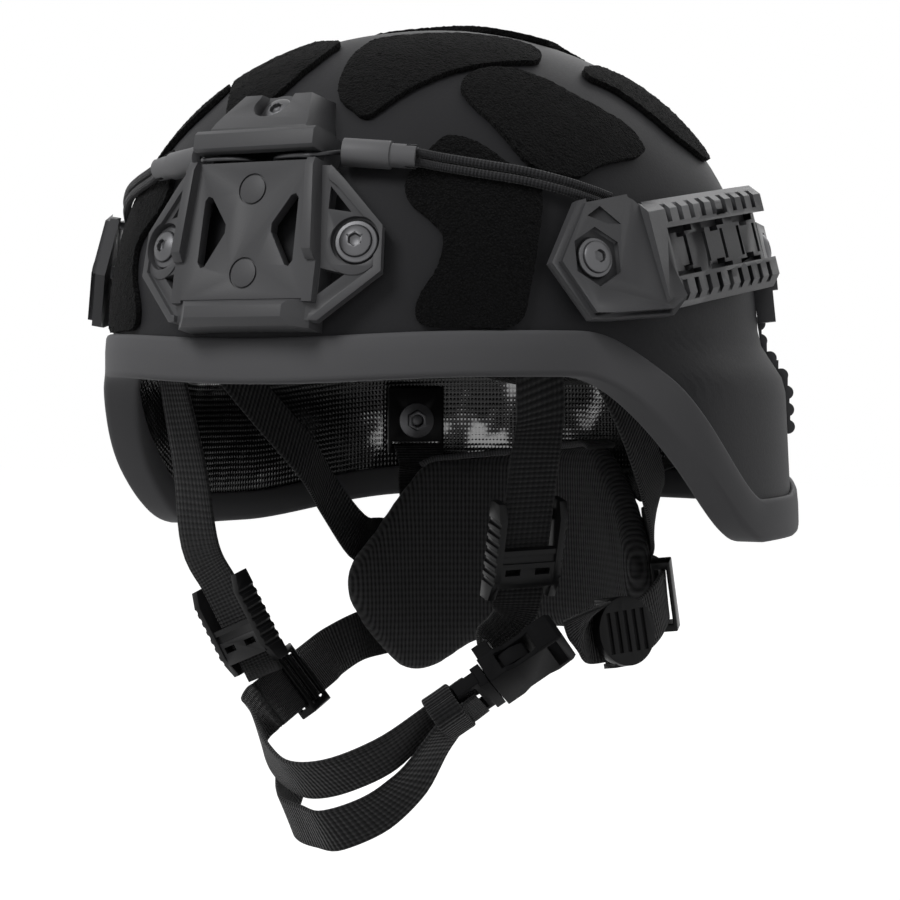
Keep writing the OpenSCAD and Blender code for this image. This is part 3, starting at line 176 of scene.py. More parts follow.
def arc_share(z):
    """The share of its widest radius that the bowl has at a height."""
    t = max(0, min(1, (z - WIDEST) / (CROWN - WIDEST)))
    return max(0, 1 - t ** ARC_P) ** (1 / ARC_Q)


def bowl_point(a, z, out=0):
    r = plan_radius(a) * arc_share(z) + out
    return Vector((r * math.cos(math.radians(a)), r * math.sin(math.radians(a)), z))


def off_shell(a, z, d):
    """A point d millimetres off the shell's outer face."""
    if z > CROWN - 0.01:
        n = Vector((0, 0, 1))
    else:
        around = bowl_point(a + 0.5, z) - bowl_point(a - 0.5, z)
        n = around.cross(bowl_point(a, z) - bowl_point(a, z - 0.4)).normalized()
    return bowl_point(a, z, swell(a, z)) + d * n


def inside(a, z, d):
    """A point d millimetres off the shell's inner face."""
    return off_shell(a, z, -WALL - d)


# Modelling helpers

# The cloth settles in this many frames; it swells away from the shell, towards the middle of the head
CLOTH_FRAMES, HEAD_CENTRE = 20, Vector((0, 0, 0.03))


def only(piece):
    """Makes one object the selected and active one."""
    bpy.ops.object.select_all(action="DESELECT")
    piece.select_set(True)
    bpy.context.view_layer.objects.active = piece


def shape_grid(name, columns, rows, place, uv=(1, 1), caps=False):
    """A grid whose points are moved to place(column, row), in millimetres; uv is its UV map's size."""
    bpy.ops.object.select_all(action="DESELECT")
    bpy.ops.mesh.primitive_grid_add(x_subdivisions=columns, y_subdivisions=rows, size=1)
    piece = bpy.context.active_object
    piece.name = name
    piece.data.name = name
    layer = piece.data.uv_layers.active.data
    for corner in layer:
        corner.uv = (corner.uv[0] * uv[0], corner.uv[1] * uv[1])
    for v in piece.data.vertices:
        column = round((v.co.x + 0.5) * columns)
        row = round((v.co.y + 0.5) * rows)
        v.co = Vector(place(column, row)) * MM
    bpy.ops.object.mode_set(mode="EDIT")
    bpy.ops.mesh.select_all(action="SELECT")
    bpy.ops.mesh.remove_doubles(threshold=1e-6)
    if caps:
        bpy.ops.mesh.select_all(action="DESELECT")
        bpy.ops.mesh.select_non_manifold(extend=False, use_boundary=True, use_wire=False,
                                         use_multi_face=False, use_non_contiguous=False, use_verts=False)
        bpy.ops.mesh.edge_face_add()
        bpy.ops.mesh.select_all(action="SELECT")
    bpy.ops.mesh.normals_make_consistent(inside=False)
    bpy.ops.object.mode_set(mode="OBJECT")
    bpy.ops.object.shade_smooth()
    return piece


def modifier(piece, kind, **settings):
    """Adds a modifier and applies it."""
    only(piece)
    made = piece.modifiers.new(kind.title(), kind)
    for key, value in settings.items():
        setattr(made, key, value)
    bpy.ops.object.modifier_apply(modifier=made.name)


def plump(piece, voxel, reach):
    """Swells a cushion with cloth under pressure; no point moves more than reach, or towards the shell."""
    modifier(piece, "REMESH", mode="VOXEL", voxel_size=voxel)
    rest = [v.co.copy() for v in piece.data.vertices]
    only(piece)
    cloth = piece.modifiers.new("Cloth", "CLOTH")
    cloth.settings.use_pressure = True
    cloth.settings.uniform_pressure_force = 4
    cloth.settings.effector_weights.gravity = 0
    for number in range(1, CLOTH_FRAMES + 1):
        bpy.context.scene.frame_set(number)
    bpy.ops.object.modifier_apply(modifier=cloth.name)
    bpy.context.scene.frame_set(1)
    for v, start in zip(piece.data.vertices, rest):
        move = v.co - start
        outwards = (start - HEAD_CENTRE).normalized()
        move -= outwards * max(0, move.dot(outwards))
        v.co = start + move * min(1, reach / max(move.length, 1e-9))
    modifier(piece, "SUBSURF", levels=1, render_levels=1)
    only(piece)
    bpy.ops.object.shade_smooth()
    return piece


def dress(piece, finish, body, slot, *nodes):
    """Gives a piece its finish, the body that it rides on and the nodes that it replaces; its slot is not
    used.
    """
    piece.data.materials.clear()
    piece.data.materials.append(material(finish))
    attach(piece, body)
    if nodes:
        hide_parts(*nodes)


def smooth_route(points, steps):
    """A smooth run through points of any number of dimensions."""
    made = []
    last = len(points) - 1
    for i in range(last):
        a, b, c, d = points[max(0, i - 1)], points[i], points[i + 1], points[min(last, i + 2)]
        for k in range(steps):
            t = k / steps
            made.append([
                0.5 * (2 * q + (r - p) * t + (2 * p - 5 * q + 4 * r - s) * t * t
                       + (3 * q - p - 3 * r + s) * t ** 3) for p, q, r, s in zip(a, b, c, d)])
    made.append(list(points[last]))
    return made


def smooth_vectors(points, steps):
    """A smooth run through points, as vectors."""
    return [Vector(p) for p in smooth_route([tuple(p) for p in points], steps)]


def heading(points, i):
    """The way that a run of points goes at one of them."""
    return (points[min(len(points) - 1, i + 1)] - points[max(0, i - 1)]).normalized()


def square_to(run, side):
    """The direction nearest to side that is square to the run."""
    return (side - side.dot(run) * run).normalized()


def run_length(points):
    return sum((points[i + 1] - points[i]).length for i in range(len(points) - 1))


def bisect_grid(piece, low, high, step):
    """Cuts a flat piece into squares, so that it can be bent."""
    only(piece)
    bpy.ops.object.mode_set(mode="EDIT")
    for axis in (0, 1):
        at = low[axis] + step
        while at < high[axis]:
            bpy.ops.mesh.select_all(action="SELECT")
            normal = [0, 0, 0]
            normal[axis] = 1
            bpy.ops.mesh.bisect(plane_co=[at * MM * n for n in normal], plane_no=normal)
            at += step
    bpy.ops.object.mode_set(mode="OBJECT")


def rounded_outline(points, reach, steps=5):
    """The outline with each corner rounded, starting reach millimetres before it."""
    made = []
    count = len(points)
    for i, corner in enumerate(points):
        corner = Vector(corner)
        before = Vector(points[i - 1])
        after = Vector(points[(i + 1) % count])
        a = corner + (before - corner).normalized() * min(reach, 0.45 * (before - corner).length)
        b = corner + (after - corner).normalized() * min(reach, 0.45 * (after - corner).length)
        for k in range(steps + 1):
            t = k / steps
            made.append((1 - t) ** 2 * a + 2 * t * (1 - t) * corner + t * t * b)
    return made


# Materials

# The scale that puts the bands of a wave texture one unit apart
BAND = 0.31416


def node(tree, kind, values=None, links=None, **settings):
    """Adds a node with its settings, its inputs' values and its links; a node links by its first output."""
    made = tree.nodes.new(kind)
    for key, value in settings.items():
        setattr(made, key, value)
    for key, value in (values or {}).items():
        made.inputs[key].default_value = value
    for key, source in (links or {}).items():
        output = source.outputs[0] if isinstance(source, bpy.types.Node) else source
        tree.links.new(output, made.inputs[key])
    return made


def new_material(name):
    """A material and its empty tree."""
    made = bpy.data.materials.new(name)
    made.use_nodes = True
    made.node_tree.nodes.clear()
    return made, made.node_tree


def shade(tint, share):
    """A colour times a share, with full alpha."""
    return (tint[0] * share, tint[1] * share, tint[2] * share, 1)


def grained(name, tint, roughness, grain, depth, mottle=0.12, metallic=0.0, specular=0.5):
    """A moulded, painted or blasted surface: the size of its grain and the depth of its bump in metres."""
    made, tree = new_material(name)
    place = node(tree, "ShaderNodeTexCoord").outputs["Object"]
    fine = node(tree, "ShaderNodeTexNoise", {"Scale": 1 / grain, "Detail": 3, "Roughness": 0.6},
                {"Vector": place})
    broad = node(tree, "ShaderNodeTexNoise", {"Scale": 28, "Detail": 3}, {"Vector": place})
    mix = node(tree, "ShaderNodeMix", {6: shade(tint, 1 - mottle), 7: shade(tint, 1 + mottle)}, {0: broad},
               data_type="RGBA")
    rough = node(tree, "ShaderNodeMapRange", {"To Min": roughness - 0.06, "To Max": roughness + 0.08},
                 {"Value": fine})
    bump = node(tree, "ShaderNodeBump", {"Strength": 0.6, "Distance": depth}, {"Height": fine})
    shader = node(tree, "ShaderNodeBsdfPrincipled", {"Metallic": metallic, "Specular IOR Level": specular},
                  {"Base Color": mix.outputs[2], "Roughness": rough, "Normal": bump})
    node(tree, "ShaderNodeOutputMaterial", links={"Surface": shader})
    return made


def ribbed(name, tint, pitch, across, depth, roughness=0.75, lift=2.2):
    """A ribbed cloth on UV coordinates in millimetres: the pitch of its ribs and of its crossing threads;
    lift is how much lighter the rib tops are painted.
    """
    made, tree = new_material(name)
    place = node(tree, "ShaderNodeTexCoord").outputs["UV"]
    ribs = node(tree, "ShaderNodeTexWave",
                {"Scale": BAND / pitch, "Distortion": 0.25, "Detail": 1, "Detail Scale": 2},
                {"Vector": place}, wave_type="BANDS", bands_direction="Y", wave_profile="SIN")
    threads = node(tree, "ShaderNodeTexWave", {"Scale": BAND / across, "Distortion": 0.3, "Detail": 1},
                   {"Vector": place}, wave_type="BANDS", bands_direction="X", wave_profile="SIN")
    lint = node(tree, "ShaderNodeTexNoise", {"Scale": 1.6, "Detail": 4, "Roughness": 0.7}, {"Vector": place})
    low = node(tree, "ShaderNodeMath", {1: 0.35}, {0: threads.outputs["Fac"]}, operation="MULTIPLY")
    woven = node(tree, "ShaderNodeMath", links={0: ribs.outputs["Fac"], 1: low}, operation="ADD")
    worn = node(tree, "ShaderNodeMath", {1: 0.5}, {0: lint}, operation="MULTIPLY")
    height = node(tree, "ShaderNodeMath", links={0: woven, 1: worn}, operation="ADD")
    # The colour follows the weave's height: painted shade in the grooves and a painted highlight on the rib
    # tops
    share = node(tree, "ShaderNodeMapRange", {"From Min": 0.3, "From Max": 1.5}, {"Value": height})
    mix = node(tree, "ShaderNodeMix", {6: shade(tint, 0.45), 7: shade(tint, lift)}, {0: share},
               data_type="RGBA")
    bump = node(tree, "ShaderNodeBump", {"Strength": 0.8, "Distance": depth}, {"Height": height})
    shader = node(tree, "ShaderNodeBsdfPrincipled", {
        "Roughness": roughness, "Sheen Weight": 0.25, "Sheen Roughness": 0.5, "Specular IOR Level": 0.1},
        {"Base Color": mix.outputs[2], "Normal": bump})
    node(tree, "ShaderNodeOutputMaterial", links={"Surface": shader})
    return made


def fuzzy(name, tint, tuft, depth, sheen):
    """Loop or brushed cloth on Object coordinates: the size of its tufts and their depth in metres."""
    made, tree = new_material(name)
    place = node(tree, "ShaderNodeTexCoord").outputs["Object"]
    cells = node(tree, "ShaderNodeTexVoronoi", {"Scale": 1 / tuft, "Randomness": 1}, {"Vector": place})
    curls = node(tree, "ShaderNodeTexNoise",
                 {"Scale": 0.7 / tuft, "Detail": 5, "Roughness": 0.75, "Distortion": 1.5}, {"Vector": place})
    height = node(tree, "ShaderNodeMath", links={0: curls, 1: cells}, operation="SUBTRACT")
    # The colour follows the tufts' height: painted shade between the loops and a painted highlight on their
    # tips
    share = node(tree, "ShaderNodeMapRange", {"From Min": -0.25, "From Max": 0.55}, {"Value": height})
    mix = node(tree, "ShaderNodeMix", {6: shade(tint, 0.35), 7: shade(tint, 1.8)}, {0: share},
               data_type="RGBA")
    bump = node(tree, "ShaderNodeBump", {"Strength": 1.0, "Distance": depth}, {"Height": height})
    shader = node(tree, "ShaderNodeBsdfPrincipled", {
        "Roughness": 0.95, "Sheen Weight": sheen, "Specular IOR Level": 0.1},
        {"Base Color": mix.outputs[2], "Normal": bump})
    node(tree, "ShaderNodeOutputMaterial", links={"Surface": shader})
    return made


def woven_laminate(name, tint, pitch):
    """Resin-rich plain weave on UV coordinates in millimetres, with a glossy film where the resin pooled."""
    made, tree = new_material(name)
    place = node(tree, "ShaderNodeTexCoord").outputs["UV"]
    warp, weft = [
        node(tree, "ShaderNodeTexWave", {"Scale": BAND / pitch, "Distortion": 0.3}, {"Vector": place},
             wave_type="BANDS", bands_direction=direction, wave_profile="SIN") for direction in "XY"]
    weave = node(tree, "ShaderNodeMath", links={0: warp.outputs["Fac"], 1: weft.outputs["Fac"]},
                 operation="MULTIPLY")
    broad = node(tree, "ShaderNodeTexNoise", {"Scale": 0.05, "Detail": 2}, {"Vector": place})
    pools = node(tree, "ShaderNodeMath", {1: 6}, {0: broad}, operation="MULTIPLY")
    height = node(tree, "ShaderNodeMath", links={0: weave, 1: pools}, operation="ADD")
    mix = node(tree, "ShaderNodeMix", {6: shade(tint, 0.8), 7: shade(tint, 1.3)}, {0: weave},
               data_type="RGBA")
    rough = node(tree, "ShaderNodeMapRange", {"To Min": 0.12, "To Max": 0.3}, {"Value": broad})
    woven = node(tree, "ShaderNodeMath", {1: 0.1}, {0: weave}, operation="MULTIPLY")
    filled = node(tree, "ShaderNodeMath", links={0: broad, 1: woven}, operation="ADD")
    resin = node(tree, "ShaderNodeMapRange", {"From Min": 0.6, "From Max": 0.66}, {"Value": filled})
    bump = node(tree, "ShaderNodeBump", {"Strength": 0.5, "Distance": 0.0003}, {"Height": height})
    film = node(tree, "ShaderNodeBump", {"Strength": 0.25, "Distance": 0.0002}, {"Height": height})
    shader = node(tree, "ShaderNodeBsdfPrincipled", {
        "Specular IOR Level": 0.35, "Coat Roughness": 0.06, "Coat IOR": 2.4},
        {"Base Color": mix.outputs[2], "Roughness": rough, "Normal": bump, "Coat Weight": resin,
         "Coat Normal": film})
    node(tree, "ShaderNodeOutputMaterial", links={"Surface": shader})
    return made


# Each finish: how it is made, its colour, and its values as its maker takes them
FINISHES = {
    # Matt sprayed paint over a pressed aramid shell: soft and even, with a fine orange peel
    "sprayed_paint": (grained, "shell", dict(
        roughness=0.62, grain=0.0011, depth=0.00012, mottle=0.07, specular=0.14)),
    # Pressed laminate: threads 1.5 mm apart under resin that mirrors the studio where it pooled
    "pressed_laminate": (woven_laminate, "inside", dict(pitch=1.5)),
    # Moulded rubber, dull and lighter than the paint
    "moulded_rubber": (grained, "trim", dict(
        roughness=0.66, grain=0.0009, depth=0.00006, mottle=0.05, specular=0.14)),
    # Machined alloy with a blasted hard coat: even, with a soft shine along its edges
    "hard_coated_alloy": (grained, "shroud", dict(
        roughness=0.46, grain=0.0007, depth=0.00005, mottle=0.06, specular=0.3)),
    # Glass-filled nylon with a spark-eroded mould texture
    "moulded_nylon": (grained, "rail", dict(
        roughness=0.5, grain=0.0008, depth=0.00006, mottle=0.06, specular=0.3)),
    # Black-oxide steel: dark metal with a soft shine
    "oxide_steel": (grained, "screw", dict(
        roughness=0.42, grain=0.0006, depth=0.00003, mottle=0.1, metallic=0.85)),
    # Loop fabric: dense tangled loops, with a painted highlight on their tips and painted shade between them
    "loop_fabric": (fuzzy, "loop", dict(tuft=0.0008, depth=0.0007, sheen=0.04)),
    # Polyester webbing: ribs across its width, broken by the threads that run along it
    "woven_webbing": (ribbed, "webbing", dict(pitch=None, across=1.1, depth=0.0005)),
    # Bonded nylon thread, a little lighter than the webbing
    "sewing_thread": (grained, "cord", dict(roughness=0.6, grain=0.0006, depth=0.00003, mottle=0.05)),
    # Grosgrain binding, lighter than the knit that it edges
    "bound_edge": (ribbed, "sleeve", dict(pitch=1.2, across=1.4, depth=0.0003, lift=1.3)),
    # Rib knit over foam, its ribs drawn a little coarser than real so that they show
    "rib_knit": (ribbed, "knit", dict(pitch=1.9, across=2.6, depth=0.0006, roughness=0.9, lift=1.9)),
    # Brushed tricot over foam: a soft pale bloom at grazing angles
    "brushed_tricot": (fuzzy, "pad", dict(tuft=0.0011, depth=0.0004, sheen=0.4)),
    # Acetal, black and glossy from the mould
    "moulded_acetal": (grained, "buckle", dict(
        roughness=0.3, grain=0.0012, depth=0.00002, mottle=0.1, specular=0.11)),
    # The same acetal from a matt mould, on the buckle
    "matt_acetal": (grained, "buckle", dict(
        roughness=0.5, grain=0.001, depth=0.00003, mottle=0.1, specular=0.015)),
    # Braided cover of the elastic cord
    "braided_elastic": (ribbed, "cord", dict(pitch=0.9, across=0.9, depth=0.0003, roughness=0.7, lift=1.7)),
    # Soft rubber sleeve, dull and pale with wear
    "soft_rubber": (grained, "sleeve", dict(roughness=0.55, grain=0.0009, depth=0.00005, mottle=0.06)),
    # Nylon-coated steel wire
    "coated_wire": (grained, "wire", dict(roughness=0.4, grain=0.0008, depth=0.00002, metallic=0.4)),
}
READY = {}


def material(name):
    """The named finish, made the first time it is asked for; the webbing's rib pitch is a user's size."""
    if name not in READY:
        maker, tint, values = FINISHES[name]
        if name == "woven_webbing":
            values = dict(values, pitch=sizes().rib_pitch / MM)
        READY[name] = maker(name, getattr(colours(), tint), **values)
    return READY[name]


# Routes of the webbing and the cords, in millimetres, as the frame has them


def unit(v):
    return Vector(v).normalized()


# The mouth of the buckle's socket, and its directions: out of it, to its side and up from its face
MOUTH = Vector((49.7, -52.4, -109))
BUCKLE_OUT = unit((-0.719, -0.4, -0.567))
BUCKLE_SIDE = unit((0.208, -0.903, 0.398))
BUCKLE_UP = BUCKLE_OUT.cross(BUCKLE_SIDE)


def at_buckle(x, y, z):
    """A point beside the socket's mouth."""
    return MOUTH + x * BUCKLE_SIDE + y * BUCKLE_UP + z * BUCKLE_OUT


# The nape pad: the radius of its bend, its place, its roll in degrees and its thickness
NAPE_BEND, NAPE_Y, NAPE_X, NAPE_ROLL, NAPE_T = 78, 96, -6, 6, 12
# The middle of a sewn strap lies this far inwards of the pad's outer face, so it is outside
SEWN = -1.2


def nape_at(u, v, d):
    """A point of the nape pad: u around, v up and d inwards from its outer face."""
    t = u / NAPE_BEND
    r = NAPE_BEND - d
    x, y, z = r * math.sin(t), NAPE_Y - NAPE_BEND + r * math.cos(t), v + 80
    c, s = math.cos(math.radians(NAPE_ROLL)), math.sin(math.radians(NAPE_ROLL))
    return Vector((NAPE_X + x * c - z * s, y, -80 + x * s + z * c))


# The straight runs that the adjusters, the flat loops and the strap lock sit on
LEFT_RUN = Vector((58.8, -46, -61.5))
LEFT_DOWN = unit((-0.22, 0.175, -0.96))
LEFT_SIDE = Vector((0.54, 0.84, 0))
RIGHT_RUN = Vector((-63, -45, -94))
RIGHT_DOWN = unit((0.39, 0.22, -0.89))
RIGHT_SIDE = Vector((-0.985, 0.17, 0))
LEFT_LOOP = Vector((80.2, 29, -82.5))
RIGHT_LOOP = Vector((-64, -3, -120.2))
RIGHT_LOOP_RUN = unit((4, -21, -4))
RIGHT_LOOP_SIDE = Vector((-0.5, -0.3, 0.75))
LOCK = Vector((79.5, -15, -93))
LOCK_RUN = unit((0.45, 0.88, 0.08))
LOCK_SIDE = Vector((-0.1, 0.1, 0.98))
# A front strap starts this far inside the wall: the anchor's seat, its plate and 2 mm for the strap
ANCHOR_DROP = 1.85 + 3 + 2

# Each strap as points with the direction of its width there
WEBBING = {
    "front_strap_left": [
        (inside(-38, 28, ANCHOR_DROP), (0.5, 0.86, 0)),
        ((76, -67, 10), (0.35, 0.93, 0)),
        (LEFT_RUN - 50 * LEFT_DOWN, (0.45, 0.88, 0)),
        (LEFT_RUN - 33 * LEFT_DOWN, LEFT_SIDE),
        (LEFT_RUN - 16 * LEFT_DOWN, LEFT_SIDE),
        (LEFT_RUN + 2 * LEFT_DOWN, LEFT_SIDE),
        (LEFT_RUN + 19 * LEFT_DOWN, LEFT_SIDE),
        ((52.3, -42.3, -86.3), (0.42, 0.9, -0.1)),
        ((49.2, -44.2, -90.4), (0.22, 0.93, -0.3)),
        ((45.6, -46.8, -94.2), (0.05, 0.93, -0.38)),
        (at_buckle(0, 11, -3.5), -BUCKLE_SIDE)],
    "front_strap_right": [
        (inside(218, 28, ANCHOR_DROP), (-0.6, 0.8, 0)),
        ((-82, -66, 12), (-0.8, 0.6, 0)),
        ((-80, -62, -8), (-0.91, 0.42, 0)),
        ((-77, -57, -36), (-0.95, 0.3, 0)),
        (RIGHT_RUN - 33 * RIGHT_DOWN, RIGHT_SIDE),
        (RIGHT_RUN - 16 * RIGHT_DOWN, RIGHT_SIDE),
        (RIGHT_RUN + 2 * RIGHT_DOWN, RIGHT_SIDE),
        (RIGHT_RUN + 18 * RIGHT_DOWN, RIGHT_SIDE),
        (RIGHT_RUN + 22 * RIGHT_DOWN, RIGHT_SIDE)],
    "side_strap_left": [
        ((79, -51, 27), (0.1, 0.5, 0.8)), ((81, -36, 13), (0.1, 0.5, 0.8)), ((80, -6, -10), (0.1, 0.55, 0.8)),
        ((74, 26, -33), (0.1, 0.6, 0.8)), ((69, 45, -49), (0.1, 0.4, 0.9)),
        (nape_at(78, -67, SEWN), (-0.1, 0, 1)), (nape_at(70, -68, SEWN), (-0.1, 0, 1))],
    "side_strap_right": [
        ((-81, -61, 26), (-0.1, 0.5, 0.8)), ((-81, -40, 14), (-0.1, 0.5, 0.8)),
        ((-80, -6, -10), (-0.1, 0.55, 0.8)), ((-78, 26, -33), (-0.1, 0.6, 0.8)),
        ((-79, 45, -49), (-0.1, 0.5, 0.85)), (nape_at(-77, -60, SEWN - 0.8), (-0.1, 0.1, 1)),
        (nape_at(-67, -63, SEWN), (-0.1, 0, 1)), (nape_at(-59, -65, SEWN), (-0.1, 0, 1))],
    "nape_tab_left": [
        (inside(55, -30, ANCHOR_DROP + 2), (-0.8, 0.57, 0)), ((52, 79.3, -37), (-0.76, 0.63, 0)),
        (nape_at(60, -47, SEWN), (-0.72, 0.69, 0)), (nape_at(58, -53, SEWN), (-0.72, 0.69, 0))],
    "nape_tab_right": [
        (inside(125, -30, ANCHOR_DROP + 2), (0.8, 0.57, 0)), ((-56, 83.5, -37), (0.8, 0.57, 0)),
        (nape_at(-48, -37, SEWN), (0.82, 0.57, 0)), (nape_at(-48, -46, SEWN), (0.82, 0.57, 0))],
    "nape_strap_left": [
        (nape_at(62, -90, SEWN), (-0.1, 0, 1)), (nape_at(72, -89, SEWN), (-0.1, 0, 1)),
        (nape_at(82, -87, SEWN), (-0.1, 0, 1)), ((74, 40.5, -80.5), (-0.1, 0, 1)), (LEFT_LOOP, (-0.1, 0, 1)),
        ((83.9, 14, -86.6), (-0.1, 0.05, 1)), ((84.6, 1, -90.8), (-0.12, 0.1, 1)),
        (LOCK + 11 * LOCK_RUN, LOCK_SIDE), (LOCK, LOCK_SIDE), (LOCK - 11 * LOCK_RUN, (-0.2, 0.1, 0.97)),
        ((74.6, -30.2, -92.4), (-0.12, 0.2, 0.95)), ((77.6, -34.8, -88), (0.4, 0.33, 0.8)),
        ((80.5, -39.2, -83.6), -BUCKLE_OUT)],
    "nape_strap_right": [
        (nape_at(-62, -99, SEWN), (-0.1, 0, 1)), (nape_at(-72, -100, SEWN), (-0.1, 0, 1)),
        (nape_at(-82, -101.5, SEWN), (-0.15, 0, 1)),
        (RIGHT_LOOP - 42 * RIGHT_LOOP_RUN, (-0.35, -0.1, 0.9)),
        (RIGHT_LOOP - 28 * RIGHT_LOOP_RUN, RIGHT_LOOP_SIDE),
        (RIGHT_LOOP - 14 * RIGHT_LOOP_RUN, RIGHT_LOOP_SIDE),
        (RIGHT_LOOP, RIGHT_LOOP_SIDE),
        (RIGHT_LOOP + 10 * RIGHT_LOOP_RUN, RIGHT_LOOP_SIDE),
        (RIGHT_LOOP + 20 * RIGHT_LOOP_RUN, RIGHT_LOOP_SIDE),
        (RIGHT_LOOP + 30 * RIGHT_LOOP_RUN, RIGHT_LOOP_SIDE)],
    "chin_strap": [
        (RIGHT_LOOP + 31.4 * RIGHT_LOOP_RUN, RIGHT_LOOP_SIDE),
        (RIGHT_LOOP + 36 * RIGHT_LOOP_RUN, RIGHT_LOOP_SIDE),
        ((-56, -43.5, -131), (-0.3, -0.15, 0.95)),
        ((-46, -54, -138), (-0.22, -0.2, 0.95)), ((-34, -64, -143), (-0.15, -0.45, 0.85)),
        ((-17, -75, -145.5), (-0.05, -0.65, 0.72)), ((2, -79.5, -142), (0, -0.75, 0.66)),
        ((19, -75.5, -134), (0.1, -0.75, 0.66)), ((30.3, -65.5, -122.7), (0.2, -0.84, 0.5)),
        (at_buckle(0, 3.7, 12), BUCKLE_SIDE), (at_buckle(0, 3.7, 7), BUCKLE_SIDE)],
    "under_chin_strap": [
        ((-43.8, -39, -151), (-0.2, -0.3, 0.93)), ((-42, -44.4, -157), (-0.2, -0.3, 0.93)),
        ((-37.8, -51.8, -161.6), (-0.2, -0.3, 0.92)), ((-31.5, -58, -164), (-0.15, -0.45, 0.87)),
        ((-22, -61.5, -165), (-0.1, -0.5, 0.85)), ((-10, -65, -165), (0, -0.6, 0.8)),
        ((7, -63.5, -158), (0.1, -0.65, 0.75)), ((20, -61, -147), (0.2, -0.7, 0.7)),
        ((31.3, -61, -132), (0.25, -0.84, 0.5)), (at_buckle(0, -4.4, 19.5), BUCKLE_SIDE),
        (at_buckle(0, -4.2, 12.5), BUCKLE_SIDE), (at_buckle(0, -3.9, 7), BUCKLE_SIDE)],
}

# Each loop panel of the left side and the middle: its angle round the shell, its tilt and its outline
PANELS = {
    "loop_side": (-56, 12, [
        (-14, 50), (-8, 56), (3, 53), (12, 45), (23, 41), (23, 30), (20, 12), (16, -8), (11, -11.5),
        (-15, -11.5), (-20, -9.5), (-20, -3), (-12, 9), (-10, 19), (-14, 24), (-22, 31), (-23, 38)]),
    "loop_temple": (-40, 42, [
        (-28, 13), (-27, 5), (-20, -8), (-14, -20), (-9, -25), (6, -26), (15, -19), (36, -8), (41, -2),
        (36, 6), (18, 12), (4, 21), (-6, 25), (-16, 24), (-24, 19)]),
    "loop_brow": (-64, 55, [
        (-31, -15), (-30, -24), (-21, -36), (-17, -34), (-5, -22), (10, -9), (30, 5), (38, 12), (38, 22),
        (33, 29), (13, 27), (-9, 22), (-21, 21), (-28, 4)]),
    "loop_back": (2, 50, [
        (-28, 13), (-18, 7), (-9, -4), (1, -15), (12, -20), (22, -23), (36, -20), (40, -10), (30, 2),
        (20, 12), (9, 18), (-4, 22), (-22, 19)]),
    "loop_rear": (90, 34, [
        (-34, -22), (-18, -30), (0, -26), (18, -30), (34, -22), (30, 0), (34, 18), (14, 26), (0, 20),
        (-14, 26), (-34, 18), (-30, 0)]),
    "loop_crown": (90, 90, [
        (-44, 22), (-24, 34), (0, 28), (24, 34), (44, 22), (38, -4), (42, -24), (16, -30), (0, -24),
        (-16, -30), (-42, -24), (-38, -4)]),
}
# The crown panel lies this far behind the middle
CROWN_SHIFT = 22


# Operators


class HELMET_OT_shell(bpy.types.Operator):
    """Models the laminate shell as one smooth bowl with a woven inner face"""
    bl_idname = "helmet.shell"
    bl_label = "Shell"

    def execute(self, context):
        columns, outer = 144, 44
        rows = 2 * outer + 2

        def place(column, row):
            """The outer face down to the edge, over it, and the inner face up again."""
            a = column * 360 / columns
            down = min(row, rows - row) / outer
            z = CROWN - (CROWN - rim_z(a)) * (1 - math.cos(min(1, down) * math.pi / 2)) ** 0.92
            if row <= outer:
                return off_shell(a, z, 0) if row else (0, 0, CROWN)
            if row >= rows - outer:
                return inside(a, z, 0) if row < rows else (0, 0, CROWN - WALL)
            return off_shell(a, rim_z(a) - 0.8, -WALL / 2)
        shell = shape_grid("shell_bowl", columns, rows, place, uv=(BOWL_ROUND, 2 * BOWL_RISE))
        dress(shell, "sprayed_paint", "helmet", "shell_coat", "shell")
        shell.data.materials.append(material("pressed_laminate"))
        for face in shell.data.polygons:
            outwards = face.center - Vector((0, 0, face.center.z * 0.2))
            face.material_index = 1 if face.normal.dot(outwards) < 0 else 0
        return {"FINISHED"}


class HELMET_OT_trim(bpy.types.Operator):
    """Models the rubber edge trim as a rounded channel round the shell's edge"""
    bl_idname = "helmet.trim"
    bl_label = "Edge trim"

    def execute(self, context):
        height = sizes().trim_height / MM
        wall = sizes().trim_wall / MM
        columns = 240

        def section(a):
            """The channel's outline as height and distance off the shell; it is taller on a slope."""
            z = rim_z(a)
            slope = (rim_z(a + 1) - rim_z(a - 1)) / (off_shell(a + 1, 0, 0) - off_shell(a - 1, 0, 0)).length
            lean = math.sqrt(1 + slope * slope)
            top, inner_top, foot = z + height * lean, z + 9 * lean, z - 3
            out, into = wall, -WALL - wall
            return [
                (foot + 0.9, into + 0.3), (foot + 0.2, into + 1.1), (foot, into + 2.4), (foot, out - 2.4),
                (foot + 0.3, out - 1), (foot + 1.1, out - 0.15), (foot + 2.4, out + 0.1),
                (z + height * lean * 0.5, out + 0.25), (top - 1.6, out), (top - 0.4, out - 0.5),
                (top, out - 1.3), (top, 0.3), (z + 1, 0.3), (z - 0.3, -0.5), (z - 0.3, -WALL + 0.5),
                (z + 1, -WALL - 0.3), (inner_top, -WALL - 0.3), (inner_top, into + 1),
                (inner_top - 0.8, into + 0.2), (foot + 2.4, into - 0.1)]
        count = 20

        def place(column, row):
            a = column * 360 / columns
            z, d = section(a)[row % count]
            return off_shell(a, z, d)
        trim = shape_grid("edge_trim_channel", columns, count, place, uv=(BOWL_ROUND, 40))
        dress(trim, "moulded_rubber", "helmet", "edge_rubber", "edge_trim")
        return {"FINISHED"}


# A panel's gap over the paint, and how far its felted face is ruffled, in metres
PANEL_GAP, RUFFLE = 0.0004, 0.00035
# Where the noise of the ruffles starts; without a seed it would start from the clock
RUFFLE_SEED = 1


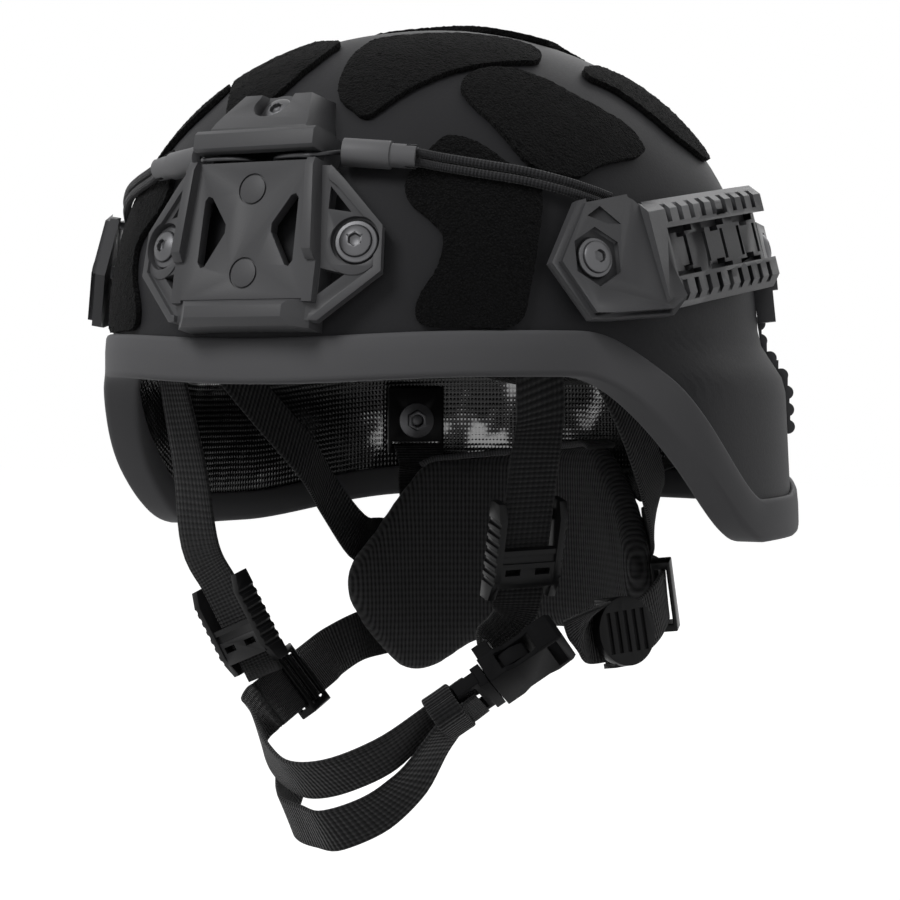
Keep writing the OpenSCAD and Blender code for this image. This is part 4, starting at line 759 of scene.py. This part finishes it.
def panel_on_shell(name, a, tilt, outline, shell_tree, shift=0):
    """A loop panel cut to an outline, laid on the shell, thickened and ruffled."""
    points = rounded_outline(outline, 5)
    bpy.ops.object.select_all(action="DESELECT")
    bpy.ops.mesh.primitive_circle_add(vertices=len(points), radius=1, fill_type="NGON")
    piece = bpy.context.active_object
    piece.name = name
    for v, p in zip(piece.data.vertices, points):
        v.co = (p[0] * MM, p[1] * MM, 0)
    bpy.ops.object.mode_set(mode="EDIT")
    bpy.ops.mesh.select_all(action="SELECT")
    bpy.ops.mesh.quads_convert_to_tris(quad_method="BEAUTY", ngon_method="BEAUTY")
    bpy.ops.object.mode_set(mode="OBJECT")
    low = [min(p[i] for p in points) for i in (0, 1)]
    high = [max(p[i] for p in points) for i in (0, 1)]
    bisect_grid(piece, low, high, 2.4)
    around, up = math.radians(a), math.radians(tilt)
    turn = Matrix.Rotation(around, 3, "Z") @ Matrix.Rotation(-up, 3, "Y")
    right, rise, out = turn @ Vector((0, 1, 0)), turn @ Vector((0, 0, 1)), turn @ Vector((1, 0, 0))
    for v in piece.data.vertices:
        start = v.co.x * right + v.co.y * rise + 0.3 * out + Vector((0, shift * MM, 0))
        hit, normal, index, distance = shell_tree.ray_cast(start, -out)
        if hit is None:
            raise RuntimeError(f"{name} has a point beside the shell")
        v.co = hit + normal * PANEL_GAP
    only(piece)
    bpy.ops.object.mode_set(mode="EDIT")
    bpy.ops.mesh.select_all(action="SELECT")
    bpy.ops.mesh.remove_doubles(threshold=0.0002)
    bpy.ops.mesh.normals_make_consistent(inside=False)
    bpy.ops.object.mode_set(mode="OBJECT")
    centre = sum((v.co for v in piece.data.vertices), Vector()) / len(piece.data.vertices)
    facing = sum((p.normal for p in piece.data.polygons), Vector())
    if facing.dot(centre) < 0:
        bpy.ops.object.mode_set(mode="EDIT")
        bpy.ops.mesh.flip_normals()
        bpy.ops.object.mode_set(mode="OBJECT")
    modifier(piece, "SOLIDIFY", thickness=sizes().loop_thickness, offset=1, use_even_offset=False)
    modifier(piece, "BEVEL", width=0.0008, segments=2, limit_method="ANGLE", angle_limit=math.radians(50))
    modifier(piece, "SUBSURF", subdivision_type="SIMPLE", levels=1, render_levels=1)
    for v in piece.data.vertices:
        v.co += noise.noise_vector(v.co * 900) * RUFFLE
    only(piece)
    bpy.ops.object.shade_smooth()
    return piece


class HELMET_OT_loops(bpy.types.Operator):
    """Cuts the loop panels and lays them on the shell"""
    bl_idname = "helmet.loops"
    bl_label = "Loop panels"

    def execute(self, context):
        noise.seed_set(RUFFLE_SEED)
        mesh = bpy.data.objects["shell_bowl"].data
        faces = [tuple(p.vertices) for p in mesh.polygons]
        shell_tree = BVHTree.FromPolygons([v.co for v in mesh.vertices], faces)
        for name, (a, tilt, outline) in PANELS.items():
            if name in ("loop_rear", "loop_crown"):
                shift = CROWN_SHIFT if name == "loop_crown" else 0
                piece = panel_on_shell(name + "_panel", a, tilt, outline, shell_tree, shift)
                dress(piece, "loop_fabric", "helmet", "loop_fabric", name)
                continue
            for side in ("left", "right"):
                turned = a if side == "left" else 180 - a
                shown = outline if side == "left" else [(-x, y) for x, y in reversed(outline)]
                piece = panel_on_shell(f"{name}_panel_{side}", turned, tilt, shown, shell_tree)
                dress(piece, "loop_fabric", "helmet", "loop_fabric", f"{name}_{side}")
        return {"FINISHED"}


def webbing_piece(name, route, steps=6, width=None, thick=None):
    """A ribbon of webbing with rounded edges along a route of [point, direction of its width]."""
    width = width or sizes().web_width / MM
    thick = thick or sizes().web_thickness / MM
    points = smooth_vectors([r[0] for r in route], steps)
    sides = smooth_vectors([r[1] for r in route], steps)
    w, t = width / 2, thick / 2
    upper = [(-w + 0.3, t * 0.75), (-w + 0.9, t), (-w * 0.5, t * 0.92), (0, t * 0.9), (w * 0.5, t * 0.92),
             (w - 0.9, t), (w - 0.3, t * 0.75)]
    section = [(-w, 0)] + upper + [(w, 0)] + [(x, -y) for x, y in reversed(upper)]
    frames = []
    for i, p in enumerate(points):
        run = heading(points, i)
        side = square_to(run, sides[i])
        frames.append((p, side, run.cross(side)))

    def place(column, row):
        p, side, face = frames[row]
        x, y = section[column % len(section)]
        return p + x * side + y * face
    size = (2 * width, run_length(points))
    return shape_grid(name, len(section), len(points) - 1, place, uv=size, caps=True)


class HELMET_OT_webbing(bpy.types.Operator):
    """Runs the webbing of the harness along its routes"""
    bl_idname = "helmet.webbing"
    bl_label = "Webbing"

    def execute(self, context):
        for name, route in WEBBING.items():
            body = "buckle_plug" if "chin" in name else "helmet"
            piece = webbing_piece(name + "_webbing", route)
            dress(piece, "woven_webbing", body, "webbing", name)
        keeper = band_round("chin_keeper", at_buckle(0, 0, 19), BUCKLE_OUT, BUCKLE_SIDE, 11.6, 6.4, 11)
        dress(keeper, "woven_webbing", "buckle_plug", "webbing")
        end = WEBBING["front_strap_left"][-2:]
        tip = [(Vector(end[0][0]).lerp(end[1][0], share), end[1][1]) for share in (0.45, 0.7, 0.9, 1.04)]
        end_piece = webbing_piece("front_strap_end", tip, width=14.5, thick=3.2)
        dress(end_piece, "moulded_nylon", "helmet", "webbing")
        for side in ("left", "right"):
            for strap, at, reach in (("front_strap", 0.08, 6), ("nape_tab", 0.8, 4), ("side_strap", 0.9, 5)):
                stitched_box(f"{strap}_stitches_{side}", WEBBING[f"{strap}_{side}"], at, reach)
        return {"FINISHED"}


def band_round(name, centre, axis, side, half_w, half_h, wide, thick=1.5):
    """A closed band of webbing round a bundle: its width runs along the axis."""
    up = unit(axis).cross(unit(side))
    route = []
    for k in range(25):
        t = 2 * math.pi * k / 24
        reach = rounded(t, 3.5)
        place = centre + math.cos(t) * reach * half_w * unit(side) + math.sin(t) * reach * half_h * up
        route.append((place, axis))
    return webbing_piece(name, route, steps=2, width=wide, thick=thick)


def stitches(name, lines, face):
    """Rows of thread stitches: each line is [from, to], lying on the side that face points to."""
    bpy.ops.object.select_all(action="DESELECT")
    bpy.ops.mesh.primitive_cylinder_add(vertices=6, radius=0.00001, depth=0.00001, location=lines[0][0] * MM)
    piece = bpy.context.active_object
    piece.name = name
    bpy.ops.object.transform_apply(location=True, rotation=True, scale=True)
    bpy.ops.object.mode_set(mode="EDIT")
    bpy.ops.mesh.select_all(action="SELECT")
    bpy.ops.mesh.delete(type="VERT")
    pitch, long = 2.6, 1.9
    for a, b in lines:
        run = b - a
        count = max(1, int(run.length / pitch))
        turn = run.to_track_quat("Z", "Y").to_euler()
        for k in range(count):
            at = a + run * ((k + 0.5) / count) + face * 0.05
            bpy.ops.mesh.primitive_cylinder_add(vertices=8, radius=0.28 * MM, depth=long * MM,
                                                location=at * MM, rotation=turn)
    bpy.ops.object.mode_set(mode="OBJECT")
    bpy.ops.object.shade_smooth_by_angle(angle=math.radians(50))
    return piece


def stitched_box(name, route, at, reach):
    """A crossed box of stitches on the webbing's outer face, at a share of its route."""
    points = smooth_vectors([r[0] for r in route], 12)
    sides = smooth_vectors([r[1] for r in route], 12)
    mid = round(at * (len(points) - 1))
    run = heading(points, mid)
    side = square_to(run, sides[mid])
    face = run.cross(side)
    if face.dot(points[mid] - Vector((0, 0, points[mid].z))) < 0:
        face = -face
    half_width, lift = 7.5, 0.8
    centre = points[mid] + lift * face
    a, b, c, d = [
        centre + x * half_width * side + y * reach * run for x, y in ((-1, -1), (1, -1), (1, 1), (-1, 1))]
    piece = stitches(name, [(a, b), (b, c), (c, d), (d, a), (a, c), (b, d)], face)
    dress(piece, "sewing_thread", "helmet", "webbing")


def tube_piece(name, points, diameter, sides=16, steps=6):
    """A round cord or wire through the points."""
    middle = smooth_vectors(points, steps)
    frames = []
    for i, p in enumerate(middle):
        run = heading(middle, i)
        side = run.cross(Vector((0, 0, 1))).normalized()
        frames.append((p, side, run.cross(side)))

    def place(column, row):
        p, side, face = frames[row]
        angle = 2 * math.pi * (column % sides) / sides
        return p + diameter / 2 * (math.cos(angle) * side + math.sin(angle) * face)
    size = (math.pi * diameter, run_length(middle))
    return shape_grid(name, sides, len(middle) - 1, place, uv=size, caps=True)


# The cord's middle over the shell: the panel's gap and thickness, its own radius and some air
CORD_RISE = 0.3 + 2 + 1.5 + 1.1


class HELMET_OT_lanyards(bpy.types.Operator):
    """Models the elastic cords, their sleeves and the wire hooks"""
    bl_idname = "helmet.lanyards"
    bl_label = "Lanyards"

    def execute(self, context):
        cord = sizes().cord / MM
        route = [off_shell(a, z, CORD_RISE + lift) for a, z, lift in (
            (-32.5, 57.5, 0), (-36, 59.5, 0), (-41, 62, 0), (-48, 64.8, 0), (-55, 66.8, 0),
            (-61, 68.4, 0.6), (-64, 69.2, 1.4), (-66, 69.7, 1.8))]
        sleeve = [off_shell(a, z, CORD_RISE + 1.8) for a, z in ((-65, 69.5), (-71, 70.6), (-76.5, 71.4))]
        hook = [
            sleeve[2] + 5 * unit(sleeve[0] - sleeve[2]), sleeve[2] + Vector((-1, -0.5, 0)),
            (22, -127.9, 73.3), (16, -128.2, 73.4), (10, -127.6, 73.3), (6, -125.8, 73), (4.5, -123, 72.5)]
        for side, sign in (("left", 1), ("right", -1)):
            flip = Vector((sign, 1, 1))
            strands = []
            for k in (-0.5, 0.5):
                line = [Vector(p) * flip + Vector((0, 0, k * (cord + 0.3))) for p in route]
                strands.append(tube_piece(f"elastic_cord_{side}_{'low' if k < 0 else 'high'}", line, cord))
            only(strands[0])
            strands[1].select_set(True)
            bpy.ops.object.join()
            both = bpy.context.active_object
            both.name = f"elastic_cord_{side}"
            dress(both, "braided_elastic", f"lanyard_{side}", "elastic_cord", f"lanyard_cord_{side}")
            wire = tube_piece(f"wire_hook_{side}", [Vector(p) * flip for p in hook], 1.6, sides=12)
            dress(wire, "coated_wire", f"lanyard_{side}", "hook_wire", f"lanyard_hook_{side}")
        return {"FINISHED"}


# The nape pad's lower and upper edge at distances round from its middle
NAPE_EDGES = [(0, -105, -31), (16, -106, -31), (32, -109, -31), (46, -115, -32), (56, -118, -40),
              (66, -116, -51), (76, -105, -62), (84, -93, -70), (88.5, -84, -77)]


class HELMET_OT_nape_pad(bpy.types.Operator):
    """Models the nape pad as a bent cushion with a bound edge"""
    bl_idname = "helmet.nape_pad"
    bl_label = "Nape pad"

    def execute(self, context):
        edges = [(-u, low, top) for u, low, top in reversed(NAPE_EDGES[1:])] + NAPE_EDGES
        dense = smooth_route(edges, 5)
        columns = len(dense) - 1
        half = [(0, 0.3), (0.02, 0.12), (0.06, 0.03), (0.14, 0), (0.32, -0.02), (0.5, -0.03), (0.68, -0.02),
                (0.86, 0), (0.94, 0.03), (0.98, 0.12), (1, 0.3)]
        ring = [(0, 0.5)] + half + [(1, 0.5)] + [(share, 1 - depth) for share, depth in reversed(half)]

        def place(column, row):
            """A point of the pad's skin; the pad thins towards its two ends."""
            u, low, top = dense[column]
            share, depth = ring[row % len(ring)]
            near = max(0, (NAPE_EDGES[-1][0] - abs(u)) / 9)
            thin = 0.45 + 0.55 * math.sin(min(1, near) * math.pi / 2)
            return nape_at(u, low + share * (top - low), NAPE_T * (0.5 + (depth - 0.5) * thin))
        pad = shape_grid("nape_cushion", columns, len(ring), place, caps=True)
        plump(pad, 0.003, 0.001)
        layer = (pad.data.uv_layers.active or pad.data.uv_layers.new(name="knit")).data
        dress(pad, "rib_knit", "helmet", "nape_knit", "nape_pad")
        for corner in pad.data.loops:
            co = pad.data.vertices[corner.vertex_index].co / MM
            around = math.atan2(co.x - NAPE_X, co.y - (NAPE_Y - NAPE_BEND)) * NAPE_BEND
            layer[corner.index].uv = (co.z, around)
        edge = [(nape_at(u, top + 0.6, NAPE_T / 2), nape_at(u, top, 0) - nape_at(u, top, 1))
                for u, low, top in dense if abs(u) <= 50]
        binding = webbing_piece("nape_binding", edge, steps=2, width=NAPE_T + 1.2, thick=2.4)
        dress(binding, "bound_edge", "helmet", "nape_knit")
        return {"FINISHED"}


def rounded(t, power):
    """The reach of a rounded square at an angle, where a circle's is one."""
    return (abs(math.cos(t)) ** power + abs(math.sin(t)) ** power) ** (-1 / power)


# Each pad on the wall: its angle, the height of its middle, and its size
PADS = {
    "front_pad": (-90, 23, 110, 23), "rear_pad": (90, 20, 110, 50),
    "side_pad_front": (-8, 48, 58, 42), "side_pad_rear": (47, 40, 56, 46),
}
# The radius of the round crown pad
CROWN_PAD_REACH = 55


class HELMET_OT_pads(bpy.types.Operator):
    """Models the suspension pads as crowned cushions against the shell's inside"""
    bl_idname = "helmet.pads"
    bl_label = "Suspension pads"

    def execute(self, context):
        thick, around = 17.5, 48
        # The flat back and its rounded rim, then the crowned face: share of the reach, and depth
        rings = [(0, 0), (0.45, 0), (0.85, 0), (0.96, 1.2), (1, 3.2)]
        rings += [(share, level * thick) for share, level in (
            (0.985, 0.62), (0.95, 0.8), (0.86, 0.9), (0.7, 0.96), (0.45, 0.99), (0.2, 1), (0, 1))]

        def cushion(name, point):
            def place(column, row):
                t = 2 * math.pi * (column % around) / around
                s, depth = rings[row]
                return point(s * math.cos(t), s * math.sin(t), t, depth)
            return shape_grid(name, around, len(rings) - 1, place, uv=(200, 60))

        def wall_point(a, z, w, h):
            def point(x, y, t, depth):
                grow = rounded(t, 4)
                u, v = x * grow * w / 2, y * grow * h / 2
                return inside(a + math.degrees(u / plan_radius(a)), z + v, SOFT_GAP + depth)
            return point

        def crown_point(x, y, t, depth):
            px, py = x * CROWN_PAD_REACH, y * CROWN_PAD_REACH
            angle = math.degrees(math.atan2(py, px))
            g = min(1, math.hypot(px, py) / plan_radius(angle))
            if g < 0.004:
                return (0, 0, CROWN - WALL - SOFT_GAP - depth)
            z = WIDEST + (CROWN - WIDEST) * max(0, 1 - g ** ARC_Q) ** (1 / ARC_P)
            return inside(angle, z, SOFT_GAP + depth)

        def finished_pad(name, node_name, point):
            pad = plump(cushion(name, point), 0.004, 0.0025)
            dress(pad, "brushed_tricot", "helmet", "pad_fabric", node_name)
        for name, (a, z, w, h) in PADS.items():
            for side in ("",) if name in ("front_pad", "rear_pad") else ("_left", "_right"):
                turned = 180 - a if side == "_right" else a
                finished_pad(f"{name}{side}_cushion", name + side, wall_point(turned, z, w, h))
        finished_pad("crown_cushion", "crown_pad", crown_point)
        return {"FINISHED"}


# The moulded and machined nodes by their finish
HARDWARE = {
    "hard_coated_alloy": ["shroud"],
    "moulded_nylon": ["rail_left", "rail_right", "rear_clip_left", "rear_clip_right"],
    "oxide_steel": ["shroud_screws", "rail_screws", "rear_screws", "shroud_nuts", "anchor_nuts"],
    "moulded_acetal": [
        "adjuster_left", "adjuster_right", "nape_loop_left", "nape_loop_right", "nape_lock",
        "front_anchor_left", "front_anchor_right", "rear_anchor_left", "rear_anchor_right"],
    "matt_acetal": ["buckle_socket", "buckle_plug", "buckle_arm_front", "buckle_arm_back"],
    "soft_rubber": ["lanyard_sleeve_left", "lanyard_sleeve_right", "rail_spacers"],
}


def softened(name, width):
    """A copy of a frame node with small radii on its edges."""
    source = frame["nodes"][name]
    copy = bpy.data.objects.new(name + "_finished", source.data.copy())
    bpy.context.scene.collection.objects.link(copy)
    only(copy)
    bpy.ops.object.mode_set(mode="EDIT")
    bpy.ops.mesh.select_all(action="SELECT")
    bpy.ops.mesh.remove_doubles(threshold=1e-6)
    bpy.ops.mesh.dissolve_limited(angle_limit=math.radians(0.6))
    bpy.ops.object.mode_set(mode="OBJECT")
    modifier(copy, "BEVEL", width=width, segments=2, limit_method="ANGLE", angle_limit=math.radians(28),
             use_clamp_overlap=True)
    only(copy)
    bpy.ops.object.shade_smooth_by_angle(angle=math.radians(32))
    return copy


class HELMET_OT_hardware(bpy.types.Operator):
    """Gives the moulded and machined pieces their edge radii and finishes"""
    bl_idname = "helmet.hardware"
    bl_label = "Hardware"

    def execute(self, context):
        slots = {s["node"]: s["material_slot"] for s in frame["record"]["subparts"]}
        for finish, names in HARDWARE.items():
            for name in names:
                body = frame["nodes"][name]["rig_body"]
                dress(softened(name, sizes().edge), finish, body, slots[name], name)
        return {"FINISHED"}


def area_light(name, place, aim, size, power):
    """A round soft lamp at a place in metres, turned to what it aims at."""
    data = bpy.data.lights.new(name, "AREA")
    data.shape = "DISK"
    data.size = size
    data.energy = power
    lamp = bpy.data.objects.new(name, data)
    lamp.location = place
    lamp.rotation_euler = (Vector(aim) - Vector(place)).to_track_quat("-Z", "Y").to_euler()
    bpy.context.scene.collection.objects.link(lamp)


WHITE = (1, 1, 1, 1)


def background_rays(tree):
    """One for the rays that show the background: from the camera, in a mirror or through glass."""
    path = node(tree, "ShaderNodeLightPath").outputs
    mirrored = node(tree, "ShaderNodeMath", operation="MAXIMUM",
                    links={0: path["Is Glossy Ray"], 1: path["Is Transmission Ray"]})
    return node(tree, "ShaderNodeMath", operation="MAXIMUM", links={0: path["Is Camera Ray"], 1: mirrored})


class HELMET_OT_stage(bpy.types.Operator):
    """Sets the camera at the photograph's angle, the soft studio light and the pale floor"""
    bl_idname = "helmet.stage"
    bl_label = "Stage"

    def execute(self, context):
        scene = context.scene
        back = unit((0.486, -0.874, 0.026))
        target = Vector((0, 0, -0.0264))
        data = bpy.data.cameras.new("photo_camera")
        data.lens = 101
        data.sensor_width = 36
        data.shift_x = 0.0087
        data.shift_y = -0.0056
        camera = bpy.data.objects.new("photo_camera", data)
        camera.location = target + 0.965 * back
        camera.rotation_euler = (-back).to_track_quat("-Z", "Y").to_euler()
        scene.collection.objects.link(camera)
        scene.camera = camera
        area_light("key", (-0.4, -1.7, 1.5), (0, 0, 0), 1.0, 20)
        area_light("fill", (1.8, -0.9, 0.6), (0, 0, 0), 1.6, 0.8)
        area_light("rim", (-0.4, 1.9, 1.2), (0, 0, 0), 1.6, 12)
        area_light("low", (0.2, -1.5, -0.15), (0, 0, -0.05), 1.0, 0.6)
        world = bpy.data.worlds.new("studio")
        scene.world = world
        world.use_nodes = True
        tree = world.node_tree
        tree.nodes.clear()
        seen = background_rays(tree)
        grey = node(tree, "ShaderNodeBackground", {"Color": WHITE, "Strength": 0.14})
        white = node(tree, "ShaderNodeBackground", {"Color": WHITE, "Strength": 1.0})
        mix = node(tree, "ShaderNodeMixShader", links={0: seen, 1: grey, 2: white})
        node(tree, "ShaderNodeOutputWorld", links={"Surface": mix})
        bpy.ops.object.select_all(action="DESELECT")
        bpy.ops.mesh.primitive_plane_add(size=9, location=(0, 0, -0.24))
        floor = context.active_object
        floor.name = "floor"
        pale, tree = new_material("pale_floor")
        seen = background_rays(tree)
        diffuse = node(tree, "ShaderNodeBsdfDiffuse", {"Color": (0.36, 0.36, 0.36, 1)})
        glow = node(tree, "ShaderNodeEmission", {"Color": WHITE, "Strength": 0.95})
        lit = node(tree, "ShaderNodeAddShader", links={0: diffuse, 1: glow})
        mix = node(tree, "ShaderNodeMixShader", links={0: seen, 1: diffuse, 2: lit})
        node(tree, "ShaderNodeOutputMaterial", links={"Surface": mix})
        floor.data.materials.append(pale)
        scene.view_settings.view_transform = "Standard"
        return {"FINISHED"}


class HELMET_PT_panel(bpy.types.Panel):
    """Lists the helmet's pieces, sizes and colours"""
    bl_idname = "HELMET_PT_panel"
    bl_label = "Helmet"
    bl_space_type = "VIEW_3D"
    bl_region_type = "UI"
    bl_category = "Helmet"

    def draw(self, context):
        for group in (context.scene.helmet_sizes, context.scene.helmet_colours):
            box = self.layout.box()
            for key in group.bl_rna.properties.keys():
                if key not in ("rna_type", "name"):
                    box.prop(group, key)
        for step in STEPS:
            self.layout.operator(step.bl_idname)


# The operators in the order in which they run: the loop panels lie on the shell
STEPS = [
    HELMET_OT_stage, HELMET_OT_lanyards, HELMET_OT_shell, HELMET_OT_trim, HELMET_OT_loops, HELMET_OT_webbing,
    HELMET_OT_nape_pad, HELMET_OT_pads, HELMET_OT_hardware]
CLASSES = [HelmetSizes, HelmetColours] + STEPS + [HELMET_PT_panel]


def register():
    for one in CLASSES:
        bpy.utils.register_class(one)
    bpy.types.Scene.helmet_sizes = bpy.props.PointerProperty(type=HelmetSizes)
    bpy.types.Scene.helmet_colours = bpy.props.PointerProperty(type=HelmetColours)


def unregister():
    del bpy.types.Scene.helmet_colours
    del bpy.types.Scene.helmet_sizes
    for one in reversed(CLASSES):
        bpy.utils.unregister_class(one)


def main():
    register()
    bpy.ops.helmet.stage()
    bpy.ops.helmet.lanyards()
    bpy.ops.helmet.shell()
    bpy.ops.helmet.trim()
    bpy.ops.helmet.loops()
    bpy.ops.helmet.webbing()
    bpy.ops.helmet.nape_pad()
    bpy.ops.helmet.pads()
    bpy.ops.helmet.hardware()


if __name__ == "__main__":
    main()
